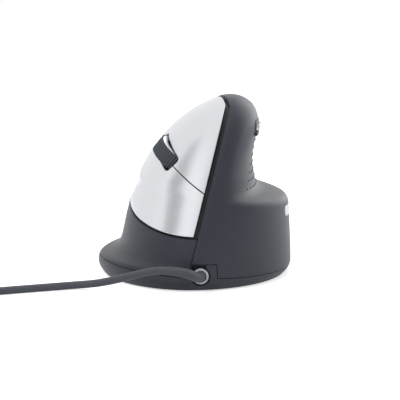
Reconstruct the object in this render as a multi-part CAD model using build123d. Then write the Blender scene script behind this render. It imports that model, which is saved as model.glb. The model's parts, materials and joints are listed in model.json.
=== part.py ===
from build123d import *
import math
import os

os.makedirs("parts", exist_ok=True)

# Overall size of the mouse, from the photograph and the breadth of a right hand
body_width = 106.2
body_length = 125.0
body_height = 97.8
foot_height = 0.6

# The body's horizontal outlines, bottom to top. Each row holds the level, as a share of the
# height above the tray's underside, then the left, right and nose X as shares of the width,
# then the front, back and broadest Y as shares of the length, and last how far each quarter
# of the outline swells, where 0.5523 would make an ellipse.
outline_shares = (
    (0.000, -0.469, 0.467, -0.019, -0.478, 0.464, -0.040, 0.520),
    (0.025, -0.488, 0.488, -0.017, -0.491, 0.486, -0.040, 0.520),
    (0.051, -0.499, 0.499, -0.014, -0.498, 0.498, -0.040, 0.520),
    (0.076, -0.500, 0.500, -0.011, -0.499, 0.500, -0.040, 0.520),
    (0.097, -0.495, 0.500, -0.009, -0.500, 0.500, -0.040, 0.520),
    (0.111, -0.480, 0.500, -0.008, -0.500, 0.500, -0.040, 0.520),
    (0.123, -0.446, 0.499, -0.004, -0.500, 0.499, -0.040, 0.520),
    (0.142, -0.411, 0.499, 0.000, -0.499, 0.498, -0.040, 0.520),
    (0.179, -0.386, 0.498, 0.008, -0.498, 0.494, -0.040, 0.520),
    (0.241, -0.370, 0.495, 0.021, -0.494, 0.488, -0.040, 0.520),
    (0.313, -0.356, 0.492, 0.038, -0.487, 0.478, -0.040, 0.520),
    (0.374, -0.342, 0.488, 0.053, -0.480, 0.467, -0.040, 0.520),
    (0.416, -0.332, 0.482, 0.062, -0.474, 0.458, -0.041, 0.530),
    (0.440, -0.323, 0.463, 0.070, -0.470, 0.450, -0.044, 0.540),
    (0.458, -0.315, 0.416, 0.077, -0.466, 0.442, -0.048, 0.550),
    (0.475, -0.308, 0.360, 0.084, -0.462, 0.434, -0.052, 0.560),
    (0.500, -0.297, 0.322, 0.093, -0.456, 0.422, -0.056, 0.570),
    (0.570, -0.280, 0.304, 0.106, -0.446, 0.403, -0.060, 0.585),
    (0.642, -0.245, 0.296, 0.124, -0.427, 0.366, -0.064, 0.595),
    (0.714, -0.203, 0.303, 0.141, -0.406, 0.322, -0.068, 0.600),
    (0.786, -0.151, 0.317, 0.156, -0.381, 0.266, -0.072, 0.600),
    (0.853, -0.088, 0.326, 0.169, -0.350, 0.202, -0.076, 0.600),
    (0.909, -0.021, 0.316, 0.179, -0.315, 0.133, -0.080, 0.600),
    (0.951, 0.047, 0.294, 0.183, -0.277, 0.067, -0.084, 0.600),
    (0.977, 0.096, 0.264, 0.183, -0.237, 0.013, -0.088, 0.600),
    (0.994, 0.135, 0.230, 0.183, -0.187, -0.030, -0.092, 0.600),
    (1.000, 0.164, 0.202, 0.183, -0.136, -0.061, -0.096, 0.600),
)
# Samples of a quarter turn for a wall's depth, and the step in height for the skin's slopes
offset_steps = 6
slope_step = 0.01

# Walls, running gaps and seams
shell_wall = 2.4
panel_wall = 1.6
frame_wall = 1.4
floor_wall = 2.0
lining_gap = 0.3
seam_gap = 0.3
overrun = 20.0
far = 2 * body_length
frame_depth = shell_wall + lining_gap

# Parting of the two shells: a leaning plane in front, then a line along the ridge in plan
parting_foot_x = -5.36
parting_lean_share = 0.256
ridge_plan_shares = (
    (0.174, -0.278),
    (0.158, -0.180),
    (0.134, -0.085),
    (0.066, 0.030),
    (-0.036, 0.160),
    (-0.122, 0.288),
    (-0.188, 0.400),
    (-0.226, 0.520),
)
# Lower edge of the finger panels, in side view: Y as a share of the length, Z of the height
panel_foot_shares = (
    (-0.560, 0.272),
    (-0.448, 0.287),
    (-0.376, 0.308),
    (-0.224, 0.354),
    (0.000, 0.444),
    (0.176, 0.545),
    (0.296, 0.655),
    (0.368, 0.765),
)
strip_width = 2.4
panel_top_gap = 2.0
panel_foot_gap = 1.4
panel_split = 0.6
frame_margin = 5.0

# Seam between the tray and the shells, and the tray's upstand behind it
seam_height = 7.3
seam_fall_share = 0.0536
upstand_height = 3.0
upstand_wall = 1.2

# Finger wheel: its centre, its axle and the way it faces out of the body
wheel_x = -9.3
wheel_y = -29.0
wheel_z = 65.9
axle_shares = (0.62, -0.20, 0.758)
outward_shares = (-0.757, -0.408, 0.511)
wheel_radius = 13.0
wheel_width = 8.2
tyre_depth = 2.4
tread_depth = 0.8
rib_count = 52
rib_depth = 0.45
rib_shares = (0.0, 0.2, 0.6, 0.8)
flange_wall = 0.8
hub_pocket_depth = 1.6
hub_pocket_radius = 9.0
hub_boss_radius = 3.4
axle_radius = 1.25
running_gap = 0.05
slot_front = 14.8
slot_back = 13.2
slot_gap = 0.9
slot_corner = 2.4
slot_rise = 6.5
frame_slot_gap = 0.8
front_split_shares = (0.54, -0.17, 0.824)
back_split_shares = (0.598, 0.088, 0.797)

# Carrier that lets the wheel click
arm_gap = 0.6
arm_wall = 1.6
arm_half = 2.4
pivot_back = 20.0
pivot_depth = 3.0
pivot_radius = 1.0
pivot_boss_radius = 2.4
nose_front = 16.2
nose_half = 1.1
nose_top_depth = 0.5
nose_low_depth = 2.6
lug_wall = 2.4
lug_gap = 0.3
lug_half = 3.0
carrier_pin_half = 8.7
encoder_half = 4.0
encoder_drop = 5.0
encoder_rise = 3.0
encoder_width = 3.0

# Hinge of the two finger panels
hinge_back = 44.0
hinge_depth = 19.0
hinge_radius = 1.0
hinge_low = -27.5
hinge_high = 10.0
hinge_lug_wall = 2.6
hinge_lug_half = 2.8
hinge_window_gap = 0.7
frame_lug_places = (-27.2, -9.7, 8.7)
index_lug_places = (-4.6, 2.4)
middle_lug_places = (-23.7, -15.1)

# Upper circuit board with the finger switches and the wheel's click switch
board_wall = 1.6
board_depth = 6.5
board_front = 20.5
board_back = 25.0
board_half = 17.0
board_inset = 5.2
board_window = 12.4
board_window_half = 5.4
switch_length = 12.8
switch_width = 5.8
switch_height = 6.5
switch_row = 13.4
switch_front = 4.0
plunger_radius = 0.9
plunger_rise = 1.0
plunger_sink = 1.0
plunger_gap = 0.45
plunger_well = 2.4
stem_radius = 1.5
stem_hole_gap = 1.2
stand_radius = 1.9
stand_front = 16.5
stand_front_row = 8.6
stand_back = 22.0
stand_back_row = 12.0
click_size = 6.0
click_height = 2.6
click_rise = 0.5
click_plunger_radius = 1.6

# Thumb buttons, their surround and their board
thumb_low = 79.1
thumb_high = 82.7
thumb_front = -26.0
thumb_back = 6.0
thumb_part_gap = 0.6
thumb_proud = 1.5
thumb_window_gap = 0.3
thumb_flange = 0.8
thumb_flange_wall = 1.0
thumb_slack = 0.2
thumb_corner = 1.2
bezel_border = 2.4
bezel_proud = 0.3
bezel_lip_proud = 1.2
bezel_corner = 2.8
bezel_gap = 0.15
thumb_board_x = 21.6
thumb_board_low = 71.4
thumb_board_high = 88.9
thumb_board_end = 1.5
thumb_switch_height = 3.5
thumb_switch_rise = 0.8
thumb_stem_gap = 0.9
thumb_stand_radius = 1.8
thumb_stand_high = 86.6
thumb_stand_low = 73.6
thumb_stand_inset = 4.0
thumb_stand_low_y = 0.0

# Grip studs in the thumb rest
stud_radius = 0.5
stud_depth = 1.2
stud_rise = 0.35
stud_tip_radius = 0.25
stud_rows = 7
stud_low = 50.3
stud_row_pitch = 3.9
stud_pitch = 5.0
stud_front = -40.4
stud_front_step = 3.8
stud_back = 14.0
# Halvings that close in on a stud's place along its outline
halvings = 30

# Bare plate on the thumb side's flank
plate_front = -24.0
plate_back = -4.0
plate_low = 33.0
plate_high = 38.4
plate_corner = 2.4
plate_wall = 0.8
plate_proud = 0.2
plate_gap = 0.1

# Screw towers: radius, places as shares of width and length, and the screws
tower_radius = 3.2
tower_seat = 14.0
seat_gap = 0.05
tower_merge_wall = 1.2
thumb_tower_shares = ((0.348, -0.228), (0.318, 0.240))
thumb_tower_top = 47.0
flank_tower_shares = ((-0.318, -0.140), (-0.254, -0.284), (-0.226, 0.290))
flank_tower_top = 23.5
leg_shares = ((-0.085, -0.396), (-0.075, 0.216), (-0.273, -0.064))
leg_radius = 3.0
leg_top = 75.0
boss_radius = 4.6
screw_radius = 1.4
screw_length = 14.0
screw_gap = 0.1
screw_head_radius = 2.6
screw_head_height = 2.0
screw_floor = 6.0
screw_slot_radius = 1.1
screw_slot_depth = 1.0

# Main board and what stands on it
main_board_left = -22.0
main_board_right = 28.0
main_board_front = -42.0
main_board_back = 20.0
main_board_z = 7.4
main_board_corner = 4.0
post_radius = 2.6
post_inset = 4.0
board_screw_radius = 0.9
board_screw_length = 5.0
board_screw_head = 2.0
board_screw_head_height = 1.3
sensor_x = -4.0
sensor_y = 10.0
sensor_length = 12.0
sensor_width = 9.4
sensor_height = 3.6
lens_base = 1.4
lens_length = 19.0
lens_width = 14.0
lens_barrel_radius = 3.0
lens_well = 3.4
window_length = 11.0
window_width = 8.0
controller_x = 14.0
controller_y = 6.0
controller_size = 9.0
controller_height = 1.5
can_radius = 2.6
can_height = 7.0
can_x = -16.0
can_y = -4.0
can_pitch = 8.0
crystal_length = 10.0
crystal_width = 4.4
crystal_height = 3.4
cord_socket_width = 13.0
cord_socket_length = 6.0
cord_socket_height = 6.0
cord_socket_inset = 3.0

# Ribbon cables and their sockets
ribbon_width = 8.0
ribbon_wall = 0.6
ribbon_bend = 12.0
ribbon_run = 3.0
ribbon_gap = 0.15
socket_length = 11.0
socket_width = 4.6
socket_height = 4.0
socket_back = 18.6
thumb_ribbon_y = -14.0
thumb_ribbon_bow = 4.0

# Feet under the tray, as shares of width and length
foot_length = 20.0
foot_width = 7.0
foot_sink = 0.3
foot_gap = 0.1
side_foot_share = 0.380
front_foot_share = -0.370
back_foot_share = 0.392

# Cord gland in the front of the tray
gland_x = 3.3
gland_z = 8.3
gland_flange_radius = 4.1
gland_flange_wall = 1.6
gland_barrel_radius = 3.5
gland_bore_radius = 2.95
gland_back_bore_radius = 2.15
gland_set_back = 0.3
gland_well_radius = 5.0
gland_well_depth = 4.0
gland_length = 7.0
block_left = -1.1
block_right_top = 11.4
block_right_foot = 13.4
block_top = 14.2
block_depth = 8.6
block_gap = 0.3

# Cord: its diameter, its strain relief and its route along the desk
cord_radius = 2.0
boot_root_radius = 2.85
boot_end_radius = 2.2
boot_set_in = 3.9
boot_sections = 13
cord_route = (
    (3.3, -58.6, 8.3),
    (3.3, -69.0, 8.3),
    (-3.5, -75.5, 13.2),
    (-18.0, -72.0, 14.8),
    (-33.0, -64.5, 10.8),
    (-48.0, -55.0, 5.4),
    (-62.0, -50.0, 2.5),
    (-77.0, -56.5, 2.1),
    (-92.0, -65.0, 2.1),
    (-108.0, -71.5, 2.2),
    (-124.0, -74.0, 2.6),
    (-136.0, -74.0, 2.6),
)
boot_corners = 3
# How much of the shorter run beside a corner its arc takes
arc_share = 0.45

# Lead inside the mouse, from the strain relief to the cord's socket
lead_run = 7.1
lead_socket_run = 6.0

# Stored coil of the cord, past the left of the mouse
coil_x = -140.0
coil_y = -41.0
coil_radius = 33.0
coil_pitch = 4.5
coil_turns_each = 4.25
coil_lead = 4.0
coil_low = 2.6
tie_wall = 0.5
tie_width = 8.0
tie_gap = 0.3
tie_corner = 2.0
tie_angle = 150.0
# Samples for the coil's headings and for its least gap
turn_step = 0.001
gap_steps = 24

# Tail of the cord and its plug
tail_route = (
    (-144.0, -74.0, 7.1),
    (-153.0, -74.0, 7.1),
    (-164.0, -72.3, 5.6),
    (-174.0, -67.0, 4.0),
    (-181.0, -58.0, 4.0),
)
plug_length = 19.0
plug_width = 15.6
plug_height = 8.0
plug_corner = 3.0
plug_neck_radius = 2.9
plug_neck_end_radius = 2.3
plug_neck_length = 9.0
usb_width = 12.0
usb_height = 4.5
usb_length = 12.0
usb_wall = 0.35
usb_root = 4.0
tongue_wall = 1.9
tongue_back = 0.8
contact_width = 1.0
contact_wall = 0.2
contact_length = 8.0
contact_places = (-3.5, -1.0, 1.0, 3.5)
window_side = 2.4
window_place = 2.9


def level_height(share):
    """Height above the desk of a level of the outline table."""
    return foot_height + share * (body_height - foot_height)


levels = [level_height(row[0]) for row in outline_shares]
lefts = [row[1] * body_width for row in outline_shares]
rights = [row[2] * body_width for row in outline_shares]
noses = [row[3] * body_width for row in outline_shares]
fronts = [row[4] * body_length for row in outline_shares]
backs = [row[5] * body_length for row in outline_shares]
broads = [row[6] * body_length for row in outline_shares]
swells = [row[7] for row in outline_shares]


def row_slope(values, i):
    """How fast a column of the table changes with the height at one of its rows."""
    low, high = max(i - 1, 0), min(i + 1, len(levels) - 1)
    return (values[high] - values[low]) / (levels[high] - levels[low])


def along(values, height):
    """Value at a height, on a smooth curve through the table's rows."""
    last = len(levels) - 1
    height = min(max(height, levels[0]), levels[last])
    k = max(i for i in range(last) if levels[i] <= height)
    span = levels[k + 1] - levels[k]
    share = (height - levels[k]) / span
    rise = share * share * (3 - 2 * share)
    start = span * share * (1 - share) * (1 - share) * row_slope(values, k)
    end = span * share * share * (1 - share) * row_slope(values, k + 1)
    return values[k] + rise * (values[k + 1] - values[k]) + start - end


def extent(values, height, inset, inward):
    """The outline's reach at a height, moved in so that a ball of radius inset fits outside."""
    reach = []
    for step in range(-offset_steps, offset_steps + 1):
        angle = math.pi / 2 * step / offset_steps
        moved = along(values, height + abs(inset) * math.sin(angle))
        reach.append(moved + inward * inset * math.cos(angle))
    return max(reach) if inward * inset > 0 else min(reach)


def outline_corners(height, inset):
    """Right, back, left and front corners of the outline at a height."""
    left = extent(lefts, height, inset, 1)
    right = extent(rights, height, inset, -1)
    front = extent(fronts, height, inset, 1)
    back = extent(backs, height, inset, -1)
    nose = along(noses, height)
    broad = along(broads, height)
    return ((right, broad), (nose, back), (left, broad), (nose, front))


def quarter_points(height, inset, k):
    """The four control points of one swelling quarter of the outline at a height."""
    corners = outline_corners(height, inset)
    swell = along(swells, height)
    x0, y0 = corners[k]
    x1, y1 = corners[(k + 1) % 4]
    if k % 2 == 0:
        start = (x0, y0 + swell * (y1 - y0))
        end = (x1 + swell * (x0 - x1), y1)
    else:
        start = (x0 + swell * (x1 - x0), y0)
        end = (x1, y1 + swell * (y0 - y1))
    return (x0, y0), start, end, (x1, y1)


def outline(height, inset=0.0):
    """Closed outline of four swelling quarters at a height."""
    edges = [Bezier(*quarter_points(height, inset, k)) for k in range(4)]
    return Pos(0, 0, height) * make_face(Wire(edges))


def net_row(height, inset, k, rise):
    """Control points of a quarter, carried up or down by a rise along their slopes."""
    low = max(height - slope_step, levels[0])
    high = min(height + slope_step, body_height)
    before = quarter_points(low, inset, k)
    after = quarter_points(high, inset, k)
    share = rise / (high - low)
    row = []
    for (x, y), (x0, y0), (x1, y1) in zip(quarter_points(height, inset, k), before, after):
        row.append(Vector(x + share * (x1 - x0), y + share * (y1 - y0), height + rise))
    return row


def skin_patches(low, high, inset):
    """Four patches of the skin between two heights, smooth with those above and below."""
    third = (high - low) / 3
    rows = ((low, 0.0), (low, third), (high, -third), (high, 0.0))
    patches = []
    for k in range(4):
        net = [net_row(height, inset, k, rise) for height, rise in rows]
        patches.append(Face.make_bezier_surface(net))
    return patches


def body(inset=0.0, bottom=None):
    """Solid inside the body's skin, set in by a wall, from a height upwards."""
    bottom = levels[0] if bottom is None else bottom
    top = body_height - inset
    between = [h for h in levels if bottom + seam_gap < h < top - seam_gap]
    heights = [bottom] + between + [top]
    faces = [outline(bottom, inset).face(), outline(top, inset).face()]
    for low, high in zip(heights, heights[1:]):
        faces += skin_patches(low, high, inset)
    return Solid(Shell(faces))


def front_prism(points):
    """Prism along Y of an outline given in X and Z."""
    return extrude(Plane.XZ * make_face(Polyline(*points, close=True)), amount=far, both=True)


def parting_x(height):
    """X of the parting plane at a height."""
    return parting_foot_x + parting_lean_share * height


def right_of_parting(shift):
    """Everything on the thumb's side of the leaning front parting."""
    low, high = -overrun, body_height + overrun
    return front_prism(
        [(parting_x(low) + shift, low), (far, low), (far, high), (parting_x(high) + shift, high)]
    )


def right_of_ridge(shift):
    """Everything on the thumb's side of the parting line along the ridge, in plan."""
    line = [(x * body_width + shift, y * body_length) for x, y in ridge_plan_shares]
    curve = Spline(*line)
    start, end = line[0], line[-1]
    rest = Polyline(end, (far, end[1]), (far, -far), (start[0], -far), start)
    return Pos(0, 0, -overrun) * extrude(make_face([curve, rest]), amount=far)


def above_foot(drop):
    """Everything above the finger panels' lower edge, in side view."""
    line = [(y * body_length, z * body_height - drop) for y, z in panel_foot_shares]
    curve = Spline(*line)
    start, end = line[0], line[-1]
    rest = Polyline(end, (end[0], far), (start[0], far), start)
    return extrude(Plane.YZ * make_face([curve, rest]), amount=far, both=True)


def below_seam(rise):
    """Everything under the tilted seam between the tray and the shells."""
    left = seam_height + seam_fall_share * far + rise
    right = seam_height - seam_fall_share * far + rise
    return front_prism([(-far, -far), (far, -far), (far, right), (-far, left)])


def side_window(low, high, front, back, corner, grow=0.0):
    """Rounded window through the thumb's side, cut along X."""
    size = ((back - front) + 2 * grow, (high - low) + 2 * grow)
    face = RectangleRounded(size[0], size[1], corner + grow)
    place = Pos((front + back) / 2, (low + high) / 2)
    return extrude(Plane.YZ * place * face, amount=far)


def upright(x, y, low, high, radius):
    """Upright cylinder between two heights."""
    return Pos(x, y, (low + high) / 2) * Cylinder(radius, high - low)


def block(low, high):
    """Box between two corners."""
    size = [high[i] - low[i] for i in range(3)]
    centre = [(high[i] + low[i]) / 2 for i in range(3)]
    return Pos(*centre) * Box(*size)


# Frames of the wheel: along its axle, and along the way it is pressed
wheel_centre = Vector(wheel_x, wheel_y, wheel_z)
axle_way = Vector(*axle_shares).normalized()
outward_way = Vector(*outward_shares).normalized()
rearward_way = outward_way.cross(axle_way)
axle_plane = Plane(origin=wheel_centre, x_dir=rearward_way, z_dir=axle_way)
press_plane = Plane(origin=wheel_centre, x_dir=rearward_way, z_dir=outward_way)
wheel_half = wheel_width / 2
arm_inner = wheel_half + arm_gap
arm_outer = arm_inner + arm_wall
board_top = -board_depth
board_bottom = board_top - board_wall


def spindle(back, out, low, high, radius):
    """Cylinder along the axle's way, at a place behind and outward of the wheel's centre."""
    return axle_plane * Pos(back, out, (low + high) / 2) * Cylinder(radius, high - low)


def peg(back, row, low, high, radius):
    """Cylinder along the pressing way."""
    return press_plane * Pos(back, -row, (low + high) / 2) * Cylinder(radius, high - low)


def press_block(back, row, out, corner=0.0):
    """Box with its sides along the wheel's ways; each argument is a (low, high) pair."""
    size = (back[1] - back[0], row[1] - row[0], out[1] - out[0])
    centre = ((back[0] + back[1]) / 2, -(row[0] + row[1]) / 2, (out[0] + out[1]) / 2)
    if corner:
        face = RectangleRounded(size[0], size[1], corner)
        low = (centre[0], centre[1], out[0])
        return press_plane * Pos(*low) * extrude(face, amount=size[2])
    return press_plane * Pos(*centre) * Box(*size)


slot_half = wheel_half + slot_gap
main_board_top = main_board_z + board_wall
body_front = -body_length / 2
skin = body()
cavity = body(shell_wall, levels[0] + floor_wall)


def places_of(shares):
    """Places in the plan from shares of the width and length."""
    return [(x * body_width, y * body_length) for x, y in shares]


def clipped(solids, inset):
    """Solids cut off inside the skin, so that they end within a wall."""
    room = body(inset)
    return [solid & room for solid in solids]


def layer(prism, top_inset, low_inset):
    """The part of a prism that lies between two depths under the skin."""
    return (prism & body(top_inset)) - body(low_inset)


def thumb_region(shift):
    """Everything on the thumb's side of both partings."""
    return right_of_parting(shift) + right_of_ridge(shift)


def wheel_slot(grow, low, high):
    """Rounded slot that the wheel stands out of."""
    back = (-slot_front - grow, slot_back + grow)
    return press_block(back, (-slot_half - grow, slot_half + grow), (low, high), slot_corner)


def split_slab(shares, back, way_share):
    """Thin slab that cuts the panels apart, from the slot towards the front or the back."""
    normal = Vector(*shares).normalized()
    way = rearward_way * way_share
    way = (way - normal * way.dot(normal)).normalized()
    start = wheel_centre + rearward_way * back + outward_way * slot_rise
    place = Plane(origin=start + way * (far / 2), x_dir=way, z_dir=normal)
    return place * Box(far, far, panel_split)


def towers(shares, top):
    """Screw towers that hang from a shell down to the tray's bosses."""
    group = [upright(x, y, tower_seat, top, tower_radius) for x, y in places_of(shares)]
    return clipped(group, tower_merge_wall)


def pilots(shares):
    """Pilot holes up into towers or legs for the case screws, and through a wall beside the seat."""
    low, top = tower_seat - upstand_height, screw_floor + screw_length + screw_gap
    radius = screw_radius + running_gap
    return [upright(x, y, low, top, radius) for x, y in places_of(shares)]


def board_corners():
    """Places of the main board's four screws."""
    xs = (main_board_left + post_inset, main_board_right - post_inset)
    ys = (main_board_front + post_inset, main_board_back - post_inset)
    return [(x, y) for x in xs for y in ys]


def notch(gap):
    """The block that carries the cord's gland, set into the front of the body."""
    points = [
        (block_left - gap, -overrun),
        (block_left - gap, block_top + gap),
        (block_right_top + gap, block_top + gap),
        (block_right_foot + gap, -overrun),
    ]
    reach = block((-far, body_front - overrun, -far), (far, body_front + block_depth + gap, far))
    return front_prism(points) & reach


def gland_cylinder(radius, start, end):
    """Cylinder on the gland's axis between two depths behind the body's front."""
    middle = body_front + (start + end) / 2
    return Pos(gland_x, middle, gland_z) * Rot(90, 0, 0) * Cylinder(radius, end - start)


def make_glide_feet(grow=0.0, low=0.0):
    """Low-friction pads in shallow beds under the tray."""
    high = foot_height + foot_sink
    corner = foot_width / 2 - foot_gap
    side = RectangleRounded(foot_width + 2 * grow, foot_length + 2 * grow, corner)
    ends = RectangleRounded(foot_length + 2 * grow, foot_width + 2 * grow, corner)
    places = (
        (side, side_foot_share * body_width, 0.0),
        (side, -side_foot_share * body_width, 0.0),
        (ends, 0.0, front_foot_share * body_length),
        (ends, 0.0, back_foot_share * body_length),
    )
    return [Pos(x, y, low) * extrude(face, amount=high - low) for face, x, y in places]


def make_base_tray():
    """Tray under the mouse: floor, rim, upstand, bosses, posts and the gland's block."""
    shares = thumb_tower_shares + flank_tower_shares + leg_shares
    places = places_of(shares)
    floor = levels[0]
    tray = (skin & below_seam(0.0)) - cavity
    tray += layer(below_seam(upstand_height), frame_depth, frame_depth + upstand_wall)
    room = body(frame_depth)
    tray += notch(0.0) & skin
    tray += [upright(x, y, floor, tower_seat - seat_gap, boss_radius) & room for x, y in places]
    tray += [upright(x, y, floor, main_board_z, post_radius) for x, y in board_corners()]
    holes = []
    for x, y in places:
        holes.append(upright(x, y, -overrun, screw_floor, screw_head_radius + screw_gap))
        holes.append(upright(x, y, -overrun, tower_seat + overrun, screw_radius + screw_gap))
    for x, y in board_corners():
        low = main_board_z - board_screw_length
        holes.append(upright(x, y, low, main_board_z + overrun, board_screw_radius + running_gap))
    window = RectangleRounded(window_length, window_width, post_radius)
    holes.append(Pos(sensor_x, sensor_y, -overrun) * extrude(window, amount=2 * overrun))
    holes += make_glide_feet(foot_gap, -overrun)
    holes.append(gland_cylinder(gland_well_radius, -gland_well_depth, gland_well_depth))
    holes.append(gland_cylinder(gland_barrel_radius + running_gap, -overrun, overrun))
    holes.append(
        block(
            (block_left - overrun, body_front - overrun, gland_z),
            (gland_x + gland_bore_radius, body_front + gland_well_depth, block_top + overrun),
        )
    )
    return tray - holes


def bezel_window():
    """Low, high, front and back edges of the thumb buttons' surround."""
    low, high = thumb_low - bezel_border, thumb_high + bezel_border
    return low, high, thumb_front - bezel_border, thumb_back + bezel_border


def thumb_edges():
    """Low, high, front and back edges of each thumb button, the forward one first."""
    middle = (thumb_front + thumb_back) / 2
    half_gap = thumb_part_gap / 2
    return (
        (thumb_low, thumb_high, thumb_front, middle - half_gap),
        (thumb_low, thumb_high, middle + half_gap, thumb_back),
    )


def thumb_stand_places():
    """Y and Z of the three stands that carry the thumb buttons' board."""
    front = thumb_front - thumb_board_end + thumb_stand_inset
    back = thumb_back + thumb_board_end - thumb_stand_inset
    high, low = thumb_stand_high, thumb_stand_low
    return ((front, high), (back, high), (thumb_stand_low_y, low))


def sideways(y, z, low, high, radius):
    """Cylinder along X between two distances from the middle plane."""
    return Pos((low + high) / 2, y, z) * Rot(0, 90, 0) * Cylinder(radius, high - low)


def plate_prism(gap):
    """The bare plate's outline, cut along X."""
    return side_window(plate_low, plate_high, plate_front, plate_back, plate_corner, gap)


def thumb_skin_at(height, y):
    """Point on the thumb side's skin at a height and Y."""
    k = 3 if y < along(broads, height) else 0
    p0, p1, p2, p3 = quarter_points(height, 0.0, k)
    low, high = 0.0, 1.0
    for _ in range(halvings):
        t = (low + high) / 2
        u = 1 - t
        shares = (u**3, 3 * u * u * t, 3 * u * t * t, t**3)
        here = [sum(s * p[i] for s, p in zip(shares, (p0, p1, p2, p3))) for i in range(2)]
        if here[1] < y:
            low = t
        else:
            high = t
    return Vector(here[0], here[1], height)


def skin_point(height, y):
    """Point on the thumb side's skin at a height and Y, with the outward way there."""
    step = stud_radius
    up = thumb_skin_at(height + step, y) - thumb_skin_at(height - step, y)
    back = thumb_skin_at(height, y + step) - thumb_skin_at(height, y - step)
    return thumb_skin_at(height, y), back.cross(up).normalized()


def stud_places():
    """Planes on the thumb rest's skin, rows of studs that start further back as they rise."""
    planes = []
    for row in range(stud_rows):
        height = stud_low + row * stud_row_pitch
        start = stud_front + row * stud_front_step
        count = int((stud_back - start) / stud_pitch) + 1
        for k in range(count):
            here, out = skin_point(height, start + k * stud_pitch)
            planes.append(Plane(origin=here, z_dir=out))
    return planes


def make_grip_studs(gap=0.0):
    """Small studs pressed into blind holes in the thumb rest."""
    studs = []
    for place in stud_places():
        if gap:
            length = stud_depth + gap + stud_rise
            middle = Pos(0, 0, length / 2 - stud_depth - gap)
            studs.append(place * middle * Cylinder(stud_radius + gap, length))
        else:
            pin = Pos(0, 0, -stud_depth / 2) * Cylinder(stud_radius, stud_depth)
            tip = Pos(0, 0, stud_rise / 2) * Cone(stud_radius, stud_tip_radius, stud_rise)
            studs.append(place * (pin + tip))
    return studs


def make_thumb_shell():
    """Shell on the thumb's side, over the ridge and down the back."""
    shell = ((skin & thumb_region(seam_gap / 2)) - below_seam(seam_gap)) - cavity
    face = thumb_board_x + board_wall
    stands = [sideways(y, z, face, far, thumb_stand_radius) for y, z in thumb_stand_places()]
    shell += towers(thumb_tower_shares, thumb_tower_top) + clipped(stands, tower_merge_wall)
    cuts = pilots(thumb_tower_shares)
    cuts.append(notch(block_gap))
    cuts.append(side_window(*bezel_window(), bezel_corner, bezel_gap))
    for y, z in thumb_stand_places():
        end = face + board_screw_length
        cuts.append(sideways(y, z, face - overrun, end, board_screw_radius + running_gap))
    cuts.append(plate_prism(plate_gap) - body(plate_wall))
    shell -= cuts
    return shell - make_grip_studs(running_gap)


def make_flank_shell():
    """Shell on the fingers' side: front apron, lip under the hand and palm."""
    shell = (skin - thumb_region(-seam_gap / 2) - above_foot(0.0) - below_seam(seam_gap)) - cavity
    shell += towers(flank_tower_shares, flank_tower_top)
    return shell - (pilots(flank_tower_shares) + [notch(block_gap)])


def hinge_lug(row, inset, gap=0.0):
    """Lug at the finger panels' hinge, from its eye out to a skin set in by an inset."""
    half = hinge_lug_half + gap
    rows = (row - hinge_lug_wall / 2 - gap, row + hinge_lug_wall / 2 + gap)
    stem = press_block((hinge_back - half, hinge_back + half), rows, (-hinge_depth, far))
    eye = spindle(hinge_back, -hinge_depth, rows[0], rows[1], half)
    return clipped([stem + eye], inset)[0]


def switch_rows():
    """Rows of the middle finger's and index finger's switches."""
    return (-switch_row, switch_row)


def make_finger_panels():
    """Middle and index finger panels, each with its stem and hinge lugs."""
    room = above_foot(-panel_foot_gap) - right_of_parting(-strip_width)
    panels = (skin & (room - right_of_ridge(-panel_top_gap))) - body(panel_wall)
    panels -= [
        wheel_slot(0.0, 0.0, overrun),
        split_slab(front_split_shares, -slot_front, -1),
        split_slab(back_split_shares, slot_back, 1),
    ]
    middle, index = sorted(panels.solids(), key=lambda solid: solid.center().Z)[-2:]
    foot = board_top + switch_height + plunger_rise
    stems = [peg(-switch_front, row, foot, far, stem_radius) for row in switch_rows()]
    stems = clipped(stems, panel_wall / 2)
    bore = spindle(hinge_back, -hinge_depth, -far, far, hinge_radius + running_gap)
    middle_lugs = [hinge_lug(row, panel_wall / 2) - bore for row in middle_lug_places]
    edge = right_of_ridge(-panel_top_gap)
    index_lugs = [hinge_lug(row, panel_wall / 2) - [bore, edge] for row in index_lug_places]
    return middle + ([stems[0]] + middle_lugs), index + ([stems[1]] + index_lugs)


def make_button_frame():
    """Frame behind the panels: lining, legs, hinge lugs, pivot lugs and board stands."""
    middle_wall = frame_depth + frame_wall / 2
    room = above_foot(frame_margin) - right_of_parting(frame_margin) - right_of_ridge(frame_margin)
    frame = layer(room, frame_depth, frame_depth + frame_wall)
    legs = [upright(x, y, tower_seat, leg_top, leg_radius) for x, y in places_of(leg_shares)]
    stands = [peg(back, row, board_top, far, stand_radius) for back, row in stand_places()]
    rows = (arm_outer + lug_gap, arm_outer + lug_gap + lug_wall)
    back = (pivot_back - lug_half, pivot_back + lug_half)
    out = (-pivot_depth - lug_half, far)
    pivots = [press_block(back, rows, out), press_block(back, (-rows[1], -rows[0]), out)]
    lugs = [hinge_lug(row, middle_wall) for row in frame_lug_places]
    frame += clipped(legs + stands + pivots, middle_wall) + lugs
    cuts = pilots(leg_shares)
    reach = arm_outer + lug_gap
    room = pivot_boss_radius + lug_gap
    back = (pivot_back - room, pivot_back + room)
    cuts.append(press_block(back, (-reach, reach), (-pivot_depth - room, room - pivot_depth)))
    cuts.append(wheel_slot(frame_slot_gap, -pivot_depth, overrun))
    for row in switch_rows():
        cuts.append(peg(-switch_front, row, 0.0, overrun, stem_radius + stem_hole_gap))
    for row in index_lug_places + middle_lug_places:
        cuts.append(hinge_lug(row, 0.0, hinge_window_gap))
    for place in stand_places():
        top = board_top + board_screw_length - board_wall
        cuts.append(peg(*place, board_bottom, top, board_screw_radius + running_gap))
    cuts.append(spindle(pivot_back, -pivot_depth, -far, far, pivot_radius))
    cuts.append(spindle(hinge_back, -hinge_depth, -far, far, hinge_radius))
    return frame - cuts


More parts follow.
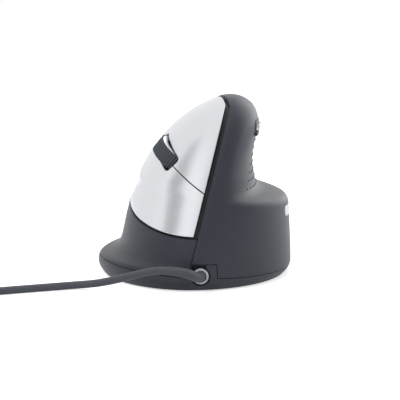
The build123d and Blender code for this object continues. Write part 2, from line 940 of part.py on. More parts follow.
def stand_places():
    """Places behind the wheel and rows of the upper board's four stands."""
    return (
        (-stand_front, -stand_front_row),
        (-stand_front, stand_front_row),
        (stand_back, -stand_back_row),
        (stand_back, stand_back_row),
    )


def make_hub():
    """Hub of the wheel, with a flange and a pocket on each side."""
    hub = spindle(0.0, 0.0, -wheel_half, wheel_half, wheel_radius - tyre_depth)
    edge = wheel_half - flange_wall
    for low, high in ((-wheel_half, -edge), (edge, wheel_half)):
        hub += spindle(0.0, 0.0, low, high, wheel_radius - tread_depth)
    deep = wheel_half - hub_pocket_depth
    for low, high in ((-wheel_half, -deep), (deep, wheel_half)):
        pocket = spindle(0.0, 0.0, low, high, hub_pocket_radius)
        hub -= pocket - spindle(0.0, 0.0, low, high, hub_boss_radius)
    return hub - spindle(0.0, 0.0, -wheel_half, wheel_half, axle_radius)


def make_tyre():
    """Ribbed rubber tyre around the hub."""
    points = []
    turn = 2 * math.pi / rib_count
    for k in range(rib_count):
        for share, rise in zip(rib_shares, (-rib_depth, 0.0, 0.0, -rib_depth)):
            angle = (k + share) * turn
            reach = wheel_radius + rise
            points.append((reach * math.cos(angle), reach * math.sin(angle)))
    face = make_face(Polyline(*points, close=True))
    tyre = axle_plane * Pos(0, 0, -wheel_half) * extrude(face, amount=wheel_width)
    edge = wheel_half - flange_wall
    tyre -= spindle(0.0, 0.0, -wheel_half, wheel_half, wheel_radius - tyre_depth)
    for low, high in ((-wheel_half, -edge), (edge, wheel_half)):
        tyre -= spindle(0.0, 0.0, low, high, wheel_radius - tread_depth)
    return tyre


def make_carrier():
    """Rocking fork that holds the wheel's axle and presses the click switch."""
    points = [
        (pivot_back, -pivot_depth - pivot_boss_radius),
        (pivot_back, -pivot_depth + pivot_boss_radius),
        (arm_half, arm_half),
        (-arm_half, arm_half),
        (-nose_front - nose_half, -nose_top_depth),
        (-nose_front - nose_half, -nose_low_depth),
        (-arm_half, -arm_half),
        (arm_half, -arm_half),
    ]
    face = make_face(Polyline(*points, close=True))
    arms = [
        axle_plane * Pos(0, 0, low) * extrude(face, amount=arm_wall) for low in (arm_inner, -arm_outer)
    ]
    barrel = spindle(pivot_back, -pivot_depth, -arm_outer, arm_outer, pivot_boss_radius)
    nose = press_block(
        (-nose_front - nose_half, -nose_front + nose_half),
        (-arm_outer, arm_outer),
        (-nose_low_depth, -nose_top_depth),
    )
    carrier = arms[0] + [arms[1], barrel, nose]
    carrier -= spindle(0.0, 0.0, -arm_outer, arm_outer, axle_radius + running_gap)
    return carrier - spindle(pivot_back, -pivot_depth, -arm_outer, arm_outer, pivot_radius + running_gap)


def make_encoder():
    """Rotary encoder on the carrier's outer side, turned by the axle's end."""
    case = press_block(
        (-encoder_half, encoder_half),
        (-arm_outer - encoder_width, -arm_outer),
        (-encoder_drop, encoder_rise),
    )
    return case - spindle(0.0, 0.0, -far, 0.0, axle_radius + running_gap)


def make_switch_board():
    """Upper circuit board, open for the wheel and trimmed to the body's shape."""
    board = press_block(
        (-board_front, board_back), (-board_half, board_half), (board_bottom, board_top), tower_radius
    )
    board &= body(board_inset)
    cuts = [
        press_block(
            (-board_window, board_window), (-board_window_half, board_window_half), (-overrun, overrun)
        )
    ]
    for place in stand_places():
        cuts.append(peg(*place, -overrun, overrun, board_screw_radius + screw_gap))
    return board - cuts


def make_finger_switches():
    """Switch housings under the middle and index fingers, with wells for their plungers."""
    half = switch_length / 2
    top = board_top + switch_height
    housings = []
    for row in switch_rows():
        housing = press_block(
            (-switch_front - half, -switch_front + half),
            (row - switch_width / 2, row + switch_width / 2),
            (board_top, top),
        )
        well = peg(-switch_front, row, top - plunger_well, top, plunger_radius + plunger_gap)
        housings.append(housing - well)
    return housings


def make_plunger(row):
    """Plunger of a finger switch, under its panel's stem."""
    top = board_top + switch_height
    return peg(-switch_front, row, top - plunger_sink, top + plunger_rise, plunger_radius)


def make_click_switch():
    """Low push switch under the carrier's nose."""
    half = click_size / 2
    case = press_block(
        (-nose_front - half, -nose_front + half), (-half, half), (board_top, board_top + click_height)
    )
    top = board_top + click_height
    return case + peg(-nose_front, 0.0, top, top + click_rise, click_plunger_radius)


def cap_screw(place, radius, length, head_radius, head_height, slot_radius, slot_depth):
    """Screw with its head below a place's origin and its shank up along the place's Z."""
    shank = Pos(0, 0, length / 2) * Cylinder(radius, length)
    head = Pos(0, 0, -head_height / 2) * Cylinder(head_radius, head_height)
    slot = Pos(0, 0, -head_height + slot_depth / 2) * Box(2 * slot_radius, slot_radius / 2, slot_depth)
    cross = Pos(0, 0, -head_height + slot_depth / 2) * Box(slot_radius / 2, 2 * slot_radius, slot_depth)
    return place * ((shank + head) - [slot, cross])


def case_screw(x, y):
    """Screw up through the tray into a tower or leg."""
    return cap_screw(
        Pos(x, y, screw_floor), screw_radius, screw_length, screw_head_radius, screw_head_height,
        screw_slot_radius, screw_slot_depth,
    )


def board_screw(place):
    """Small screw through a circuit board."""
    return cap_screw(
        place, board_screw_radius, board_screw_length, board_screw_head, board_screw_head_height,
        board_screw_radius, board_screw_head_height / 2,
    )


def make_thumb_button(edges):
    """Thumb button: proud cap, a flange behind the surround and a stem to its switch."""
    low, high, front, back = edges
    flange_top = shell_wall + thumb_slack
    flange_low = flange_top + thumb_flange_wall
    cap = side_window(low, high, front, back, thumb_corner, -thumb_window_gap / 2)
    cap = layer(cap, -thumb_proud, flange_low)
    flange = side_window(low, high, front, back, thumb_corner, thumb_flange)
    if front == thumb_front:
        flange &= block((-far, -far, -far), (far, back - thumb_part_gap / 2, far))
    else:
        flange &= block((-far, front + thumb_part_gap / 2, -far), (far, far, far))
    flange = layer(flange, flange_top, flange_low)
    start = thumb_board_x + board_wall + thumb_switch_height + thumb_switch_rise + thumb_stem_gap
    stem = sideways((front + back) / 2, (low + high) / 2, start, far, stem_radius)
    return cap + ([flange] + clipped([stem], flange_top + thumb_flange_wall / 2))


def make_bezel():
    """Black surround of the thumb buttons, with a lip under them."""
    low, high, front, back = bezel_window()
    bezel = layer(side_window(low, high, front, back, bezel_corner), -bezel_proud, shell_wall)
    lip = side_window(low, thumb_low - thumb_window_gap, front, back, bezel_border / 4)
    lip &= side_window(low, high, front, back, bezel_corner)
    bezel += layer(lip, -bezel_lip_proud, shell_wall / 2)
    return bezel - [side_window(*edges, thumb_corner, thumb_window_gap / 2) for edges in thumb_edges()]


def make_thumb_board():
    """Board behind the thumb buttons."""
    low = (thumb_board_x, thumb_front - thumb_board_end, thumb_board_low)
    high = (thumb_board_x + board_wall, thumb_back + thumb_board_end, thumb_board_high)
    board = block(low, high)
    return board - [
        sideways(y, z, low[0], high[0], board_screw_radius + screw_gap) for y, z in thumb_stand_places()
    ]


def make_thumb_switches():
    """Push switches behind the thumb buttons."""
    half = click_size / 2
    start = thumb_board_x + board_wall
    top = start + thumb_switch_height
    switches = []
    for low, high, front, back in thumb_edges():
        y, z = (front + back) / 2, (low + high) / 2
        case = block((start, y - half, z - half), (top, y + half, z + half))
        switches.append(case + sideways(y, z, top, top + thumb_switch_rise, click_plunger_radius))
    return switches


def make_main_board():
    """Main circuit board over the tray's floor."""
    size = (main_board_right - main_board_left, main_board_back - main_board_front)
    centre = ((main_board_right + main_board_left) / 2, (main_board_back + main_board_front) / 2)
    face = Pos(*centre) * RectangleRounded(*size, main_board_corner)
    board = Pos(0, 0, main_board_z) * extrude(face, amount=board_wall)
    cuts = [upright(x, y, 0.0, far, board_screw_radius + screw_gap) for x, y in board_corners()]
    cuts.append(upright(sensor_x, sensor_y, 0.0, far, lens_well))
    return board - cuts


def standing_box(x, y, length, width, height):
    """Component that stands on the main board."""
    return block(
        (x - length / 2, y - width / 2, main_board_top),
        (x + length / 2, y + width / 2, main_board_top + height),
    )


def make_lens():
    """Clear lens between the desk window and the sensor."""
    floor = levels[0] + floor_wall
    base = block(
        (sensor_x - lens_length / 2, sensor_y - lens_width / 2, floor),
        (sensor_x + lens_length / 2, sensor_y + lens_width / 2, floor + lens_base),
    )
    top = main_board_top - seam_gap
    return base + upright(sensor_x, sensor_y, floor + lens_base, top, lens_barrel_radius)


def make_cans():
    """Two capacitors and a crystal on the main board."""
    low, high = main_board_top, main_board_top + can_height
    cans = [upright(can_x, can_y - k * can_pitch, low, high, can_radius) for k in range(2)]
    y = can_y - 2 * can_pitch
    return cans + [standing_box(can_x, y, crystal_length, crystal_width, crystal_height)]


def ribbon_plane():
    """Upright plane that the finger switches' ribbon hangs in, from its upper socket."""
    level = Vector(-outward_way.X, -outward_way.Y, 0).normalized()
    start = wheel_centre + rearward_way * socket_back + outward_way * (board_bottom - socket_height)
    return Plane(origin=start, x_dir=level, z_dir=level.cross(Vector(0, 0, 1)))


def make_switch_ribbon():
    """Flat ribbon from the upper board down to the main board."""
    place = ribbon_plane()
    slope = math.atan2(-outward_way.Z, math.hypot(outward_way.X, outward_way.Y))
    run = (ribbon_run * math.cos(slope), ribbon_run * math.sin(slope))
    end = (
        run[0] + ribbon_bend * (1 + math.sin(slope)),
        run[1] - ribbon_bend * math.cos(slope),
    )
    drop = main_board_top + socket_height - place.origin.Z
    path = Line((0, 0), run)
    arc = TangentArc(run, end, tangent=run)
    path = [path, arc, Line(end, (end[0], drop))]
    strip = extrude(trace(path, ribbon_wall), amount=ribbon_width / 2, both=True)
    foot = place.from_local_coords(Vector(end[0], drop, 0))
    return place * strip, foot


def make_thumb_ribbon():
    """Flat ribbon from the thumb buttons' board down to the main board."""
    x = thumb_board_x - socket_width / 2
    low = main_board_top + socket_height + ribbon_gap
    high = thumb_board_low + thumb_corner - ribbon_gap
    middle = (x - thumb_ribbon_bow, (low + high) / 2)
    strip = trace(ThreePointArc((x, low), middle, (x, high)), ribbon_wall)
    return Pos(0, thumb_ribbon_y, 0) * extrude(Plane.XZ * strip, amount=ribbon_width / 2, both=True)


def make_ribbon_sockets(foot):
    """Sockets at the four ends of the two ribbons."""
    level = ribbon_plane()
    upper_plane = Plane(origin=level.origin, x_dir=level.z_dir, z_dir=outward_way)
    box = Pos(0, 0, socket_height / 2) * Box(socket_length, socket_width, socket_height)
    upper = upper_plane * box
    lower_plane = Plane(origin=(foot.X, foot.Y, main_board_top), x_dir=level.z_dir, z_dir=(0, 0, 1))
    lower = lower_plane * box
    x = thumb_board_x - socket_width / 2
    thumb_low_socket = Pos(x, thumb_ribbon_y, main_board_top) * Rot(0, 0, 90) * box
    low = thumb_board_low + thumb_corner
    half = socket_length / 2
    thumb_high_socket = block(
        (x - socket_width / 2, thumb_ribbon_y - half, low),
        (thumb_board_x, thumb_ribbon_y + half, low + socket_height),
    )
    return [upper, lower, thumb_low_socket, thumb_high_socket]


def make_gland():
    """Flanged bush in the tray's front that the cord comes out of."""
    flange = gland_cylinder(gland_flange_radius, gland_set_back, gland_set_back + gland_flange_wall)
    barrel = gland_cylinder(gland_barrel_radius, gland_set_back, gland_set_back + gland_length)
    front_bore = gland_cylinder(gland_bore_radius, -overrun, boot_set_in)
    back_bore = gland_cylinder(gland_back_bore_radius, -overrun, overrun)
    return (flange + barrel) - [front_bore, back_bore]


def make_side_plate():
    """Bare plate in a shallow bed on the thumb side."""
    return layer(plate_prism(0.0), -plate_proud, plate_wall - plate_gap)


def fillet_radii(points):
    """Radius of each corner of a route, as large as its two runs allow."""
    radii = []
    for before, here, after in zip(points, points[1:], points[2:]):
        run_in, run_out = Vector(here) - Vector(before), Vector(after) - Vector(here)
        half_turn = math.radians(run_in.get_angle(run_out)) / 2
        radii.append(arc_share * min(run_in.length, run_out.length) / math.tan(half_turn))
    return radii


def route_path(name, points):
    """Straight runs joined by tangent arcs, with the radii printed."""
    radii = fillet_radii(points)
    print(name, "radii", [round(radius, 1) for radius in radii])
    return FilletPolyline(*points, radius=radii)


def make_tube(name, path, radius):
    """Round tube along a path, its volume compared with section times length."""
    start = Plane(origin=path @ 0, z_dir=path % 0)
    tube = sweep(start * Circle(radius), path=path)
    ratio = tube.volume / (math.pi * radius**2 * path.length)
    print(name, "length", round(path.length, 1), "volume ratio", round(ratio, 4))
    return tube


def boot_end():
    """Point on the route's straight run where the strain relief ends."""
    return (Vector(cord_route[boot_corners - 1]) + Vector(cord_route[boot_corners])) * (1 / 2)


def make_strain_relief():
    """Tapering boot over the cord where it leaves the gland."""
    path = route_path("strain relief", list(cord_route[:boot_corners]) + [tuple(boot_end())])
    circles = []
    for k in range(boot_sections):
        share = k / (boot_sections - 1)
        radius = boot_root_radius + share * (boot_end_radius - boot_root_radius)
        circles.append(Plane(origin=path @ share, z_dir=path % share) * Circle(radius))
    return loft(circles)


def make_cord():
    """Cord from the strain relief to the stored coil."""
    path = route_path("cord", [tuple(boot_end())] + list(cord_route[boot_corners:]))
    return make_tube("cord", path, cord_radius)


def make_cord_tail():
    """Cord from the coil to the plug."""
    return make_tube("cord tail", route_path("cord tail", tail_route), cord_radius)


def make_inner_lead():
    """Lead from the strain relief's end inside the mouse up to its socket on the main board."""
    start = cord_route[0]
    end = (start[0], cord_socket_front(), cord_socket_middle())
    points = [
        start,
        (start[0], start[1] + lead_run, start[2]),
        (end[0], end[1] - lead_socket_run, end[2]),
        end,
    ]
    return make_tube("inner lead", route_path("inner lead", points), cord_radius)


def cord_socket_front():
    """Y of the cord socket's front face."""
    return main_board_front + cord_socket_inset


def cord_socket_middle():
    """Height of the cord socket's middle."""
    return main_board_top + cord_socket_height / 2


def make_cord_socket():
    """Socket of the cord's lead at the main board's front edge."""
    middle = cord_socket_front() + cord_socket_length / 2
    return standing_box(gland_x, middle, cord_socket_width, cord_socket_length, cord_socket_height)


def coil_point(turn):
    """Point of the coil's centreline after so many turns: in, up a layer, and out again."""
    inner = coil_radius - coil_turns_each * coil_pitch
    climb_end = coil_turns_each + 1 / 2
    high = coil_low + coil_pitch
    if turn < coil_turns_each:
        radius, height = coil_radius - turn * coil_pitch, coil_low
    elif turn < climb_end:
        phi = 2 * math.pi * (turn - coil_turns_each)
        share = phi / math.pi
        radius = inner - coil_pitch / (2 * math.pi) * (phi - phi * phi / math.pi)
        height = coil_low + coil_pitch * share * share * (3 - 2 * share)
    else:
        radius, height = inner + (turn - climb_end) * coil_pitch, high
    angle = -math.pi / 2 - 2 * math.pi * turn
    return Vector(coil_x + radius * math.cos(angle), coil_y + radius * math.sin(angle), height)


def coil_heading(turn, last):
    """Way of the coil's centreline after so many turns, square to the leads at its ends."""
    if turn == 0 or turn == last:
        return Vector(-1, 0, 0)
    return (coil_point(turn + turn_step) - coil_point(turn - turn_step)).normalized()


def biarc(start, start_way, end, end_way):
    """Two arcs between two points, tangent to a way at each and to each other."""
    span = end - start
    spread = 2 * (1 - start_way.dot(end_way))
    lean = span.dot(start_way + end_way)
    reach = (math.sqrt(lean * lean + spread * span.dot(span)) - lean) / spread
    first, second = start + start_way * reach, end - end_way * reach
    middle = (first + second) * (1 / 2)
    into = TangentArc(start, middle, tangent=start_way)
    return [into, TangentArc(middle, end, tangent=second - first)]


def make_cord_coil():
    """Stored coil: one tube that winds in, climbs a layer and winds out."""
    last = 2 * coil_turns_each + 1 / 2
    count = round(4 * last)
    turns = [last * k / count for k in range(count + 1)]
    points = [coil_point(turn) for turn in turns]
    ways = [coil_heading(turn, last) for turn in turns]
    lead = Vector(coil_lead, 0, 0)
    edges = [Line(points[0] + lead, points[0])]
    for k in range(count):
        edges += biarc(points[k], ways[k], points[k + 1], ways[k + 1])
    edges.append(Line(points[-1], points[-1] - lead))
    path = Wire(edges)
    steps = gap_steps * count
    line = [path @ (k / steps) for k in range(steps + 1)]
    apart = round(math.pi * coil_pitch * steps / path.length)
    gap = min(
        (line[i] - line[j]).length for i in range(steps + 1) for j in range(i + apart, steps + 1)
    )
    print("coil least gap", round(gap - 2 * cord_radius, 3))
    return make_tube("coil", path, cord_radius)


def make_coil_tie():
    """Strap round the coil, lying on the desk under it."""
    turn = (-math.pi / 2 - math.radians(tie_angle)) / (2 * math.pi) % 1
    low = coil_radius - coil_turns_each * coil_pitch - coil_pitch / 4 - cord_radius - tie_gap
    low -= tie_width**2 / (8 * low)
    high = coil_radius - turn * coil_pitch + cord_radius + tie_gap
    top = coil_low + coil_pitch + cord_radius + tie_gap
    out = Vector(1, 0, 0).rotate(Axis.Z, tie_angle)
    place = Plane(origin=(coil_x, coil_y, 0), x_dir=out, z_dir=out.cross(Vector(0, 0, 1)))
    middle = ((low + high) / 2, (tie_wall + top) / 2)
    size = (high - low, top - tie_wall)
    outer = RectangleRounded(size[0] + 2 * tie_wall, size[1] + 2 * tie_wall, tie_corner)
    inner = RectangleRounded(size[0], size[1], tie_corner - tie_wall)
    return place * Pos(*middle) * extrude(outer - inner, amount=tie_width / 2, both=True)


def plug_plane():
    """Frame of the plug: Z along it, X across it, at the end of the cord's tail."""
    end = Vector(tail_route[-1])
    way = (end - Vector(tail_route[-2])).normalized()
    return Plane(origin=end, x_dir=way.cross(Vector(0, 0, 1)), z_dir=way)


def plug_box(width, height, low, high, corner=0.0):
    """Bar along the plug, between two distances from the cord's end."""
    face = RectangleRounded(width, height, corner) if corner else Rectangle(width, height)
    return plug_plane() * Pos(0, 0, low) * extrude(face, amount=high - low)


def usb_ends():
    """Where the plug's shell starts inside the moulding, leaves it, and ends."""
    face = plug_neck_length + plug_length
    return face - usb_root, face, face + usb_length


def make_plug_body():
    """Moulded body of the plug with its tapering neck."""
    neck = loft([
        plug_plane() * Circle(plug_neck_end_radius),
        plug_plane() * Pos(0, 0, plug_neck_length) * Circle(plug_neck_radius),
    ])
    start, face, end = usb_ends()
    body_bar = plug_box(plug_width, plug_height, plug_neck_length, face, plug_corner)
    return (body_bar + neck) - plug_box(usb_width, usb_height, start, end)


def make_plug_shell():
    """Metal shell of the plug, with its four latch windows."""
    start, face, end = usb_ends()
    shell = plug_box(usb_width, usb_height, start, end)
    shell -= plug_box(usb_width - 2 * usb_wall, usb_height - 2 * usb_wall, start, end)
    place = plug_plane()
    for side in (-window_place, window_place):
        window = Pos(side, 0, face + usb_length / 2) * Box(window_side, far, window_side)
        shell -= place * window
    return shell


def make_plug_insert():
    """Tongue inside the plug's shell, on a block at its root."""
    start, face, end = usb_ends()
    width, height = usb_width - 2 * usb_wall, usb_height - 2 * usb_wall
    insert = plug_box(width, height, start, face)
    tongue = plug_plane() * Pos(0, (height - tongue_wall) / 2, (start + end - tongue_back) / 2)
    insert += tongue * Box(width, tongue_wall, end - tongue_back - start)
    return insert


def make_plug_contacts():
    """Four contacts on the tongue's open face."""
    start, face, end = usb_ends()
    height = usb_height / 2 - usb_wall - tongue_wall
    contacts = []
    for place in contact_places:
        contact = Pos(place, height - contact_wall / 2, face + contact_length / 2 + tongue_back)
        contacts.append(plug_plane() * contact * Box(contact_width, contact_wall, contact_length))
    return contacts


def lift(place):
    """Board screw of the upper board, from beneath it towards the frame."""
    back, row = place
    return board_screw(press_plane * Pos(back, -row, board_bottom))


def thumb_screw(place):
    """Board screw of the thumb buttons' board, from its inner face."""
    y, z = place
    return board_screw(Plane(origin=(thumb_board_x, y, z), z_dir=(1, 0, 0)))


def floor_screw(x, y):
    """Board screw of the main board, from above."""
    return board_screw(Plane(origin=(x, y, main_board_top), z_dir=(0, 0, -1)))


def save(name, *solids):
    """Write one node's solids to its own file."""
    shapes = []
    for solid in solids:
        shapes += solid.solids()
    export_step(Compound(shapes) if len(shapes) > 1 else shapes[0], f"parts/{name}.step")


shell_towers = thumb_tower_shares + flank_tower_shares
middle_panel, index_panel = make_finger_panels()
forward_edges, back_edges = thumb_edges()
switch_ribbon, ribbon_foot = make_switch_ribbon()

save("base_tray", make_base_tray())
save("thumb_shell", make_thumb_shell())
save("flank_shell", make_flank_shell())
save("button_frame", make_button_frame())
save("glide_feet", *make_glide_feet())
save("case_screws", *[case_screw(x, y) for x, y in places_of(shell_towers)])
save("frame_screws", *[case_screw(x, y) for x, y in places_of(leg_shares)])
save("side_plate", make_side_plate())
save("grip_studs", *make_grip_studs())

save("index_button", index_panel)
save("middle_button", middle_panel)
save("button_hinge_pin", spindle(hinge_back, -hinge_depth, hinge_low, hinge_high, hinge_radius))
save("middle_plunger", make_plunger(switch_rows()[0]))
save("index_plunger", make_plunger(switch_rows()[1]))

save("wheel_hub", make_hub())
save("wheel_tyre", make_tyre())
save("wheel_axle", spindle(0.0, 0.0, -arm_outer - encoder_width, arm_outer, axle_radius))
save("wheel_carrier", make_carrier())
save("carrier_pin", spindle(pivot_back, -pivot_depth, -carrier_pin_half, carrier_pin_half, pivot_radius))
save("wheel_encoder", make_encoder())

save("switch_board", make_switch_board())
middle_switch, index_switch = make_finger_switches()
save("middle_switch", middle_switch)
save("index_switch", index_switch)
save("wheel_click_switch", make_click_switch())
save("switch_board_screws", *[lift(place) for place in stand_places()])

save("thumb_bezel", make_bezel())
save("forward_button", make_thumb_button(forward_edges))
save("back_button", make_thumb_button(back_edges))
save("thumb_board", make_thumb_board())
save("thumb_switches", *make_thumb_switches())
save("thumb_board_screws", *[thumb_screw(place) for place in thumb_stand_places()])

save("main_board", make_main_board())
save("main_board_screws", *[floor_screw(x, y) for x, y in board_corners()])
save("sensor_lens", make_lens())
save("sensor_chip", standing_box(sensor_x, sensor_y, sensor_length, sensor_width, sensor_height))
save("controller_chip", standing_box(
    controller_x, controller_y, controller_size, controller_size, controller_height
))
save("capacitors_and_crystal", *make_cans())
save("cord_socket", make_cord_socket())
save("ribbon_sockets", *make_ribbon_sockets(ribbon_foot))
save("switch_ribbon", switch_ribbon)
save("thumb_ribbon", make_thumb_ribbon())

save("cable_gland", make_gland())
save("inner_lead", make_inner_lead())
save("strain_relief", make_strain_relief())
save("cord", make_cord())
save("cord_coil", make_cord_coil())
save("coil_tie", make_coil_tie())
save("cord_tail", make_cord_tail())
save("plug_body", make_plug_body())
save("plug_shell", make_plug_shell())
save("plug_insert", make_plug_insert())
save("plug_contacts", *make_plug_contacts())
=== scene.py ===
"""Looks of the upright corded mouse: finishes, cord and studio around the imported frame."""

import json
import logging
import math
from dataclasses import dataclass
from enum import Enum

import bmesh
import bpy
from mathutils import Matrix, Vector

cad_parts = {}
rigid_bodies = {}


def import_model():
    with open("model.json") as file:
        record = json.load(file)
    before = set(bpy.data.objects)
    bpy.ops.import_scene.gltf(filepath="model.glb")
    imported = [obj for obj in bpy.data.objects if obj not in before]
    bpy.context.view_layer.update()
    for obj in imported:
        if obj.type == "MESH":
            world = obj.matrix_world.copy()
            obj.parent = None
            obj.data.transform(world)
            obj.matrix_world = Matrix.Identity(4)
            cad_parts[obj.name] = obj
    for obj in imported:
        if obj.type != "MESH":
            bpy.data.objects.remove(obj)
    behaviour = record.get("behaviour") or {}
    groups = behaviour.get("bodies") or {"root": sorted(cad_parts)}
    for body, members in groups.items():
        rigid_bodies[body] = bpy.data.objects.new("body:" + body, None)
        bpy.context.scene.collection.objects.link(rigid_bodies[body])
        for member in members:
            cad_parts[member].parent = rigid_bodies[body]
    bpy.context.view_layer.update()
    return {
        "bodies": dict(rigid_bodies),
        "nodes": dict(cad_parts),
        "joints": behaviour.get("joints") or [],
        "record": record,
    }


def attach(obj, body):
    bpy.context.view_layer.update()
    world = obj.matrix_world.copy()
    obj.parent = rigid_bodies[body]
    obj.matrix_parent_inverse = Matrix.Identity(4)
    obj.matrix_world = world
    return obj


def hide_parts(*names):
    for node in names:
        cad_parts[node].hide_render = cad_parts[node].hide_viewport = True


log = logging.getLogger("mouse")
MM = 0.001
WHITE = (1.0, 1.0, 1.0, 1.0)

Colour = tuple[float, float, float]
Point = tuple[float, float, float]


class Surface(Enum):
    """How a finish meets the light."""

    PLASTIC = "plastic"
    LACQUER = "lacquer"
    METAL = "metal"
    RUBBER = "rubber"
    CLEAR = "clear"
    CLOTH = "cloth"


class Ray(Enum):
    """Kinds of ray, by the names of the Light Path node's outputs."""

    CAMERA = "Is Camera Ray"
    GLOSSY = "Is Glossy Ray"
    TRANSMISSION = "Is Transmission Ray"


class NodeSheet:
    """Small helper that places and links the nodes of one tree."""

    def __init__(self, tree: bpy.types.NodeTree) -> None:
        """Start on an empty tree.

        Args:
            tree: the node tree to fill.
        """
        self.tree = tree
        tree.nodes.clear()

    def add(self, kind: str, **values: object) -> bpy.types.Node:
        """Add a node and set its properties and sockets.

        Args:
            kind: the node's type name.
            values: properties by name, or input sockets by name with underscores for spaces.

        Returns:
            The new node.
        """
        node = self.tree.nodes.new(kind)
        for name, value in values.items():
            if hasattr(node, name):
                setattr(node, name, value)
            else:
                node.inputs[name.replace("_", " ")].default_value = value
        return node

    def link(self, source: bpy.types.NodeSocket, target: bpy.types.NodeSocket) -> None:
        """Join an output socket to an input socket.

        Args:
            source: the output.
            target: the input.
        """
        self.tree.links.new(source, target)

    def maths(self, operation: str, first: object, second: object = 0.0) -> bpy.types.NodeSocket:
        """Add a maths node.

        Args:
            operation: the operation's name.
            first: a socket or a number.
            second: a socket or a number.

        Returns:
            The result's socket.
        """
        node = self.add("ShaderNodeMath", operation=operation)
        for socket, value in zip(node.inputs, (first, second)):
            if isinstance(value, bpy.types.NodeSocket):
                self.link(value, socket)
            else:
                socket.default_value = value
        return node.outputs["Value"]

    def mixed(
        self, share: bpy.types.NodeSocket, first: bpy.types.NodeSocket, second: object
    ) -> bpy.types.NodeSocket:
        """Mix two colours.

        Args:
            share: the second colour's share.
            first: the first colour.
            second: the second colour, a socket or a plain colour.

        Returns:
            The mixed colour's socket.
        """
        mix = self.add("ShaderNodeMix", data_type="RGBA")
        inputs = [socket for socket in mix.inputs if socket.type == "RGBA"]
        self.link(share, mix.inputs["Factor"])
        self.link(first, inputs[0])
        if isinstance(second, bpy.types.NodeSocket):
            self.link(second, inputs[1])
        else:
            inputs[1].default_value = (*second, 1.0)
        return next(socket for socket in mix.outputs if socket.type == "RGBA")

    def background_rays(self, path: bpy.types.Node) -> bpy.types.NodeSocket:
        """Mask of the rays that see the plain background.

        Args:
            path: the Light Path node.

        Returns:
            One for camera and transmission rays, zero for the others.
        """
        return self.maths(
            "MAXIMUM", path.outputs[Ray.CAMERA.value], path.outputs[Ray.TRANSMISSION.value]
        )


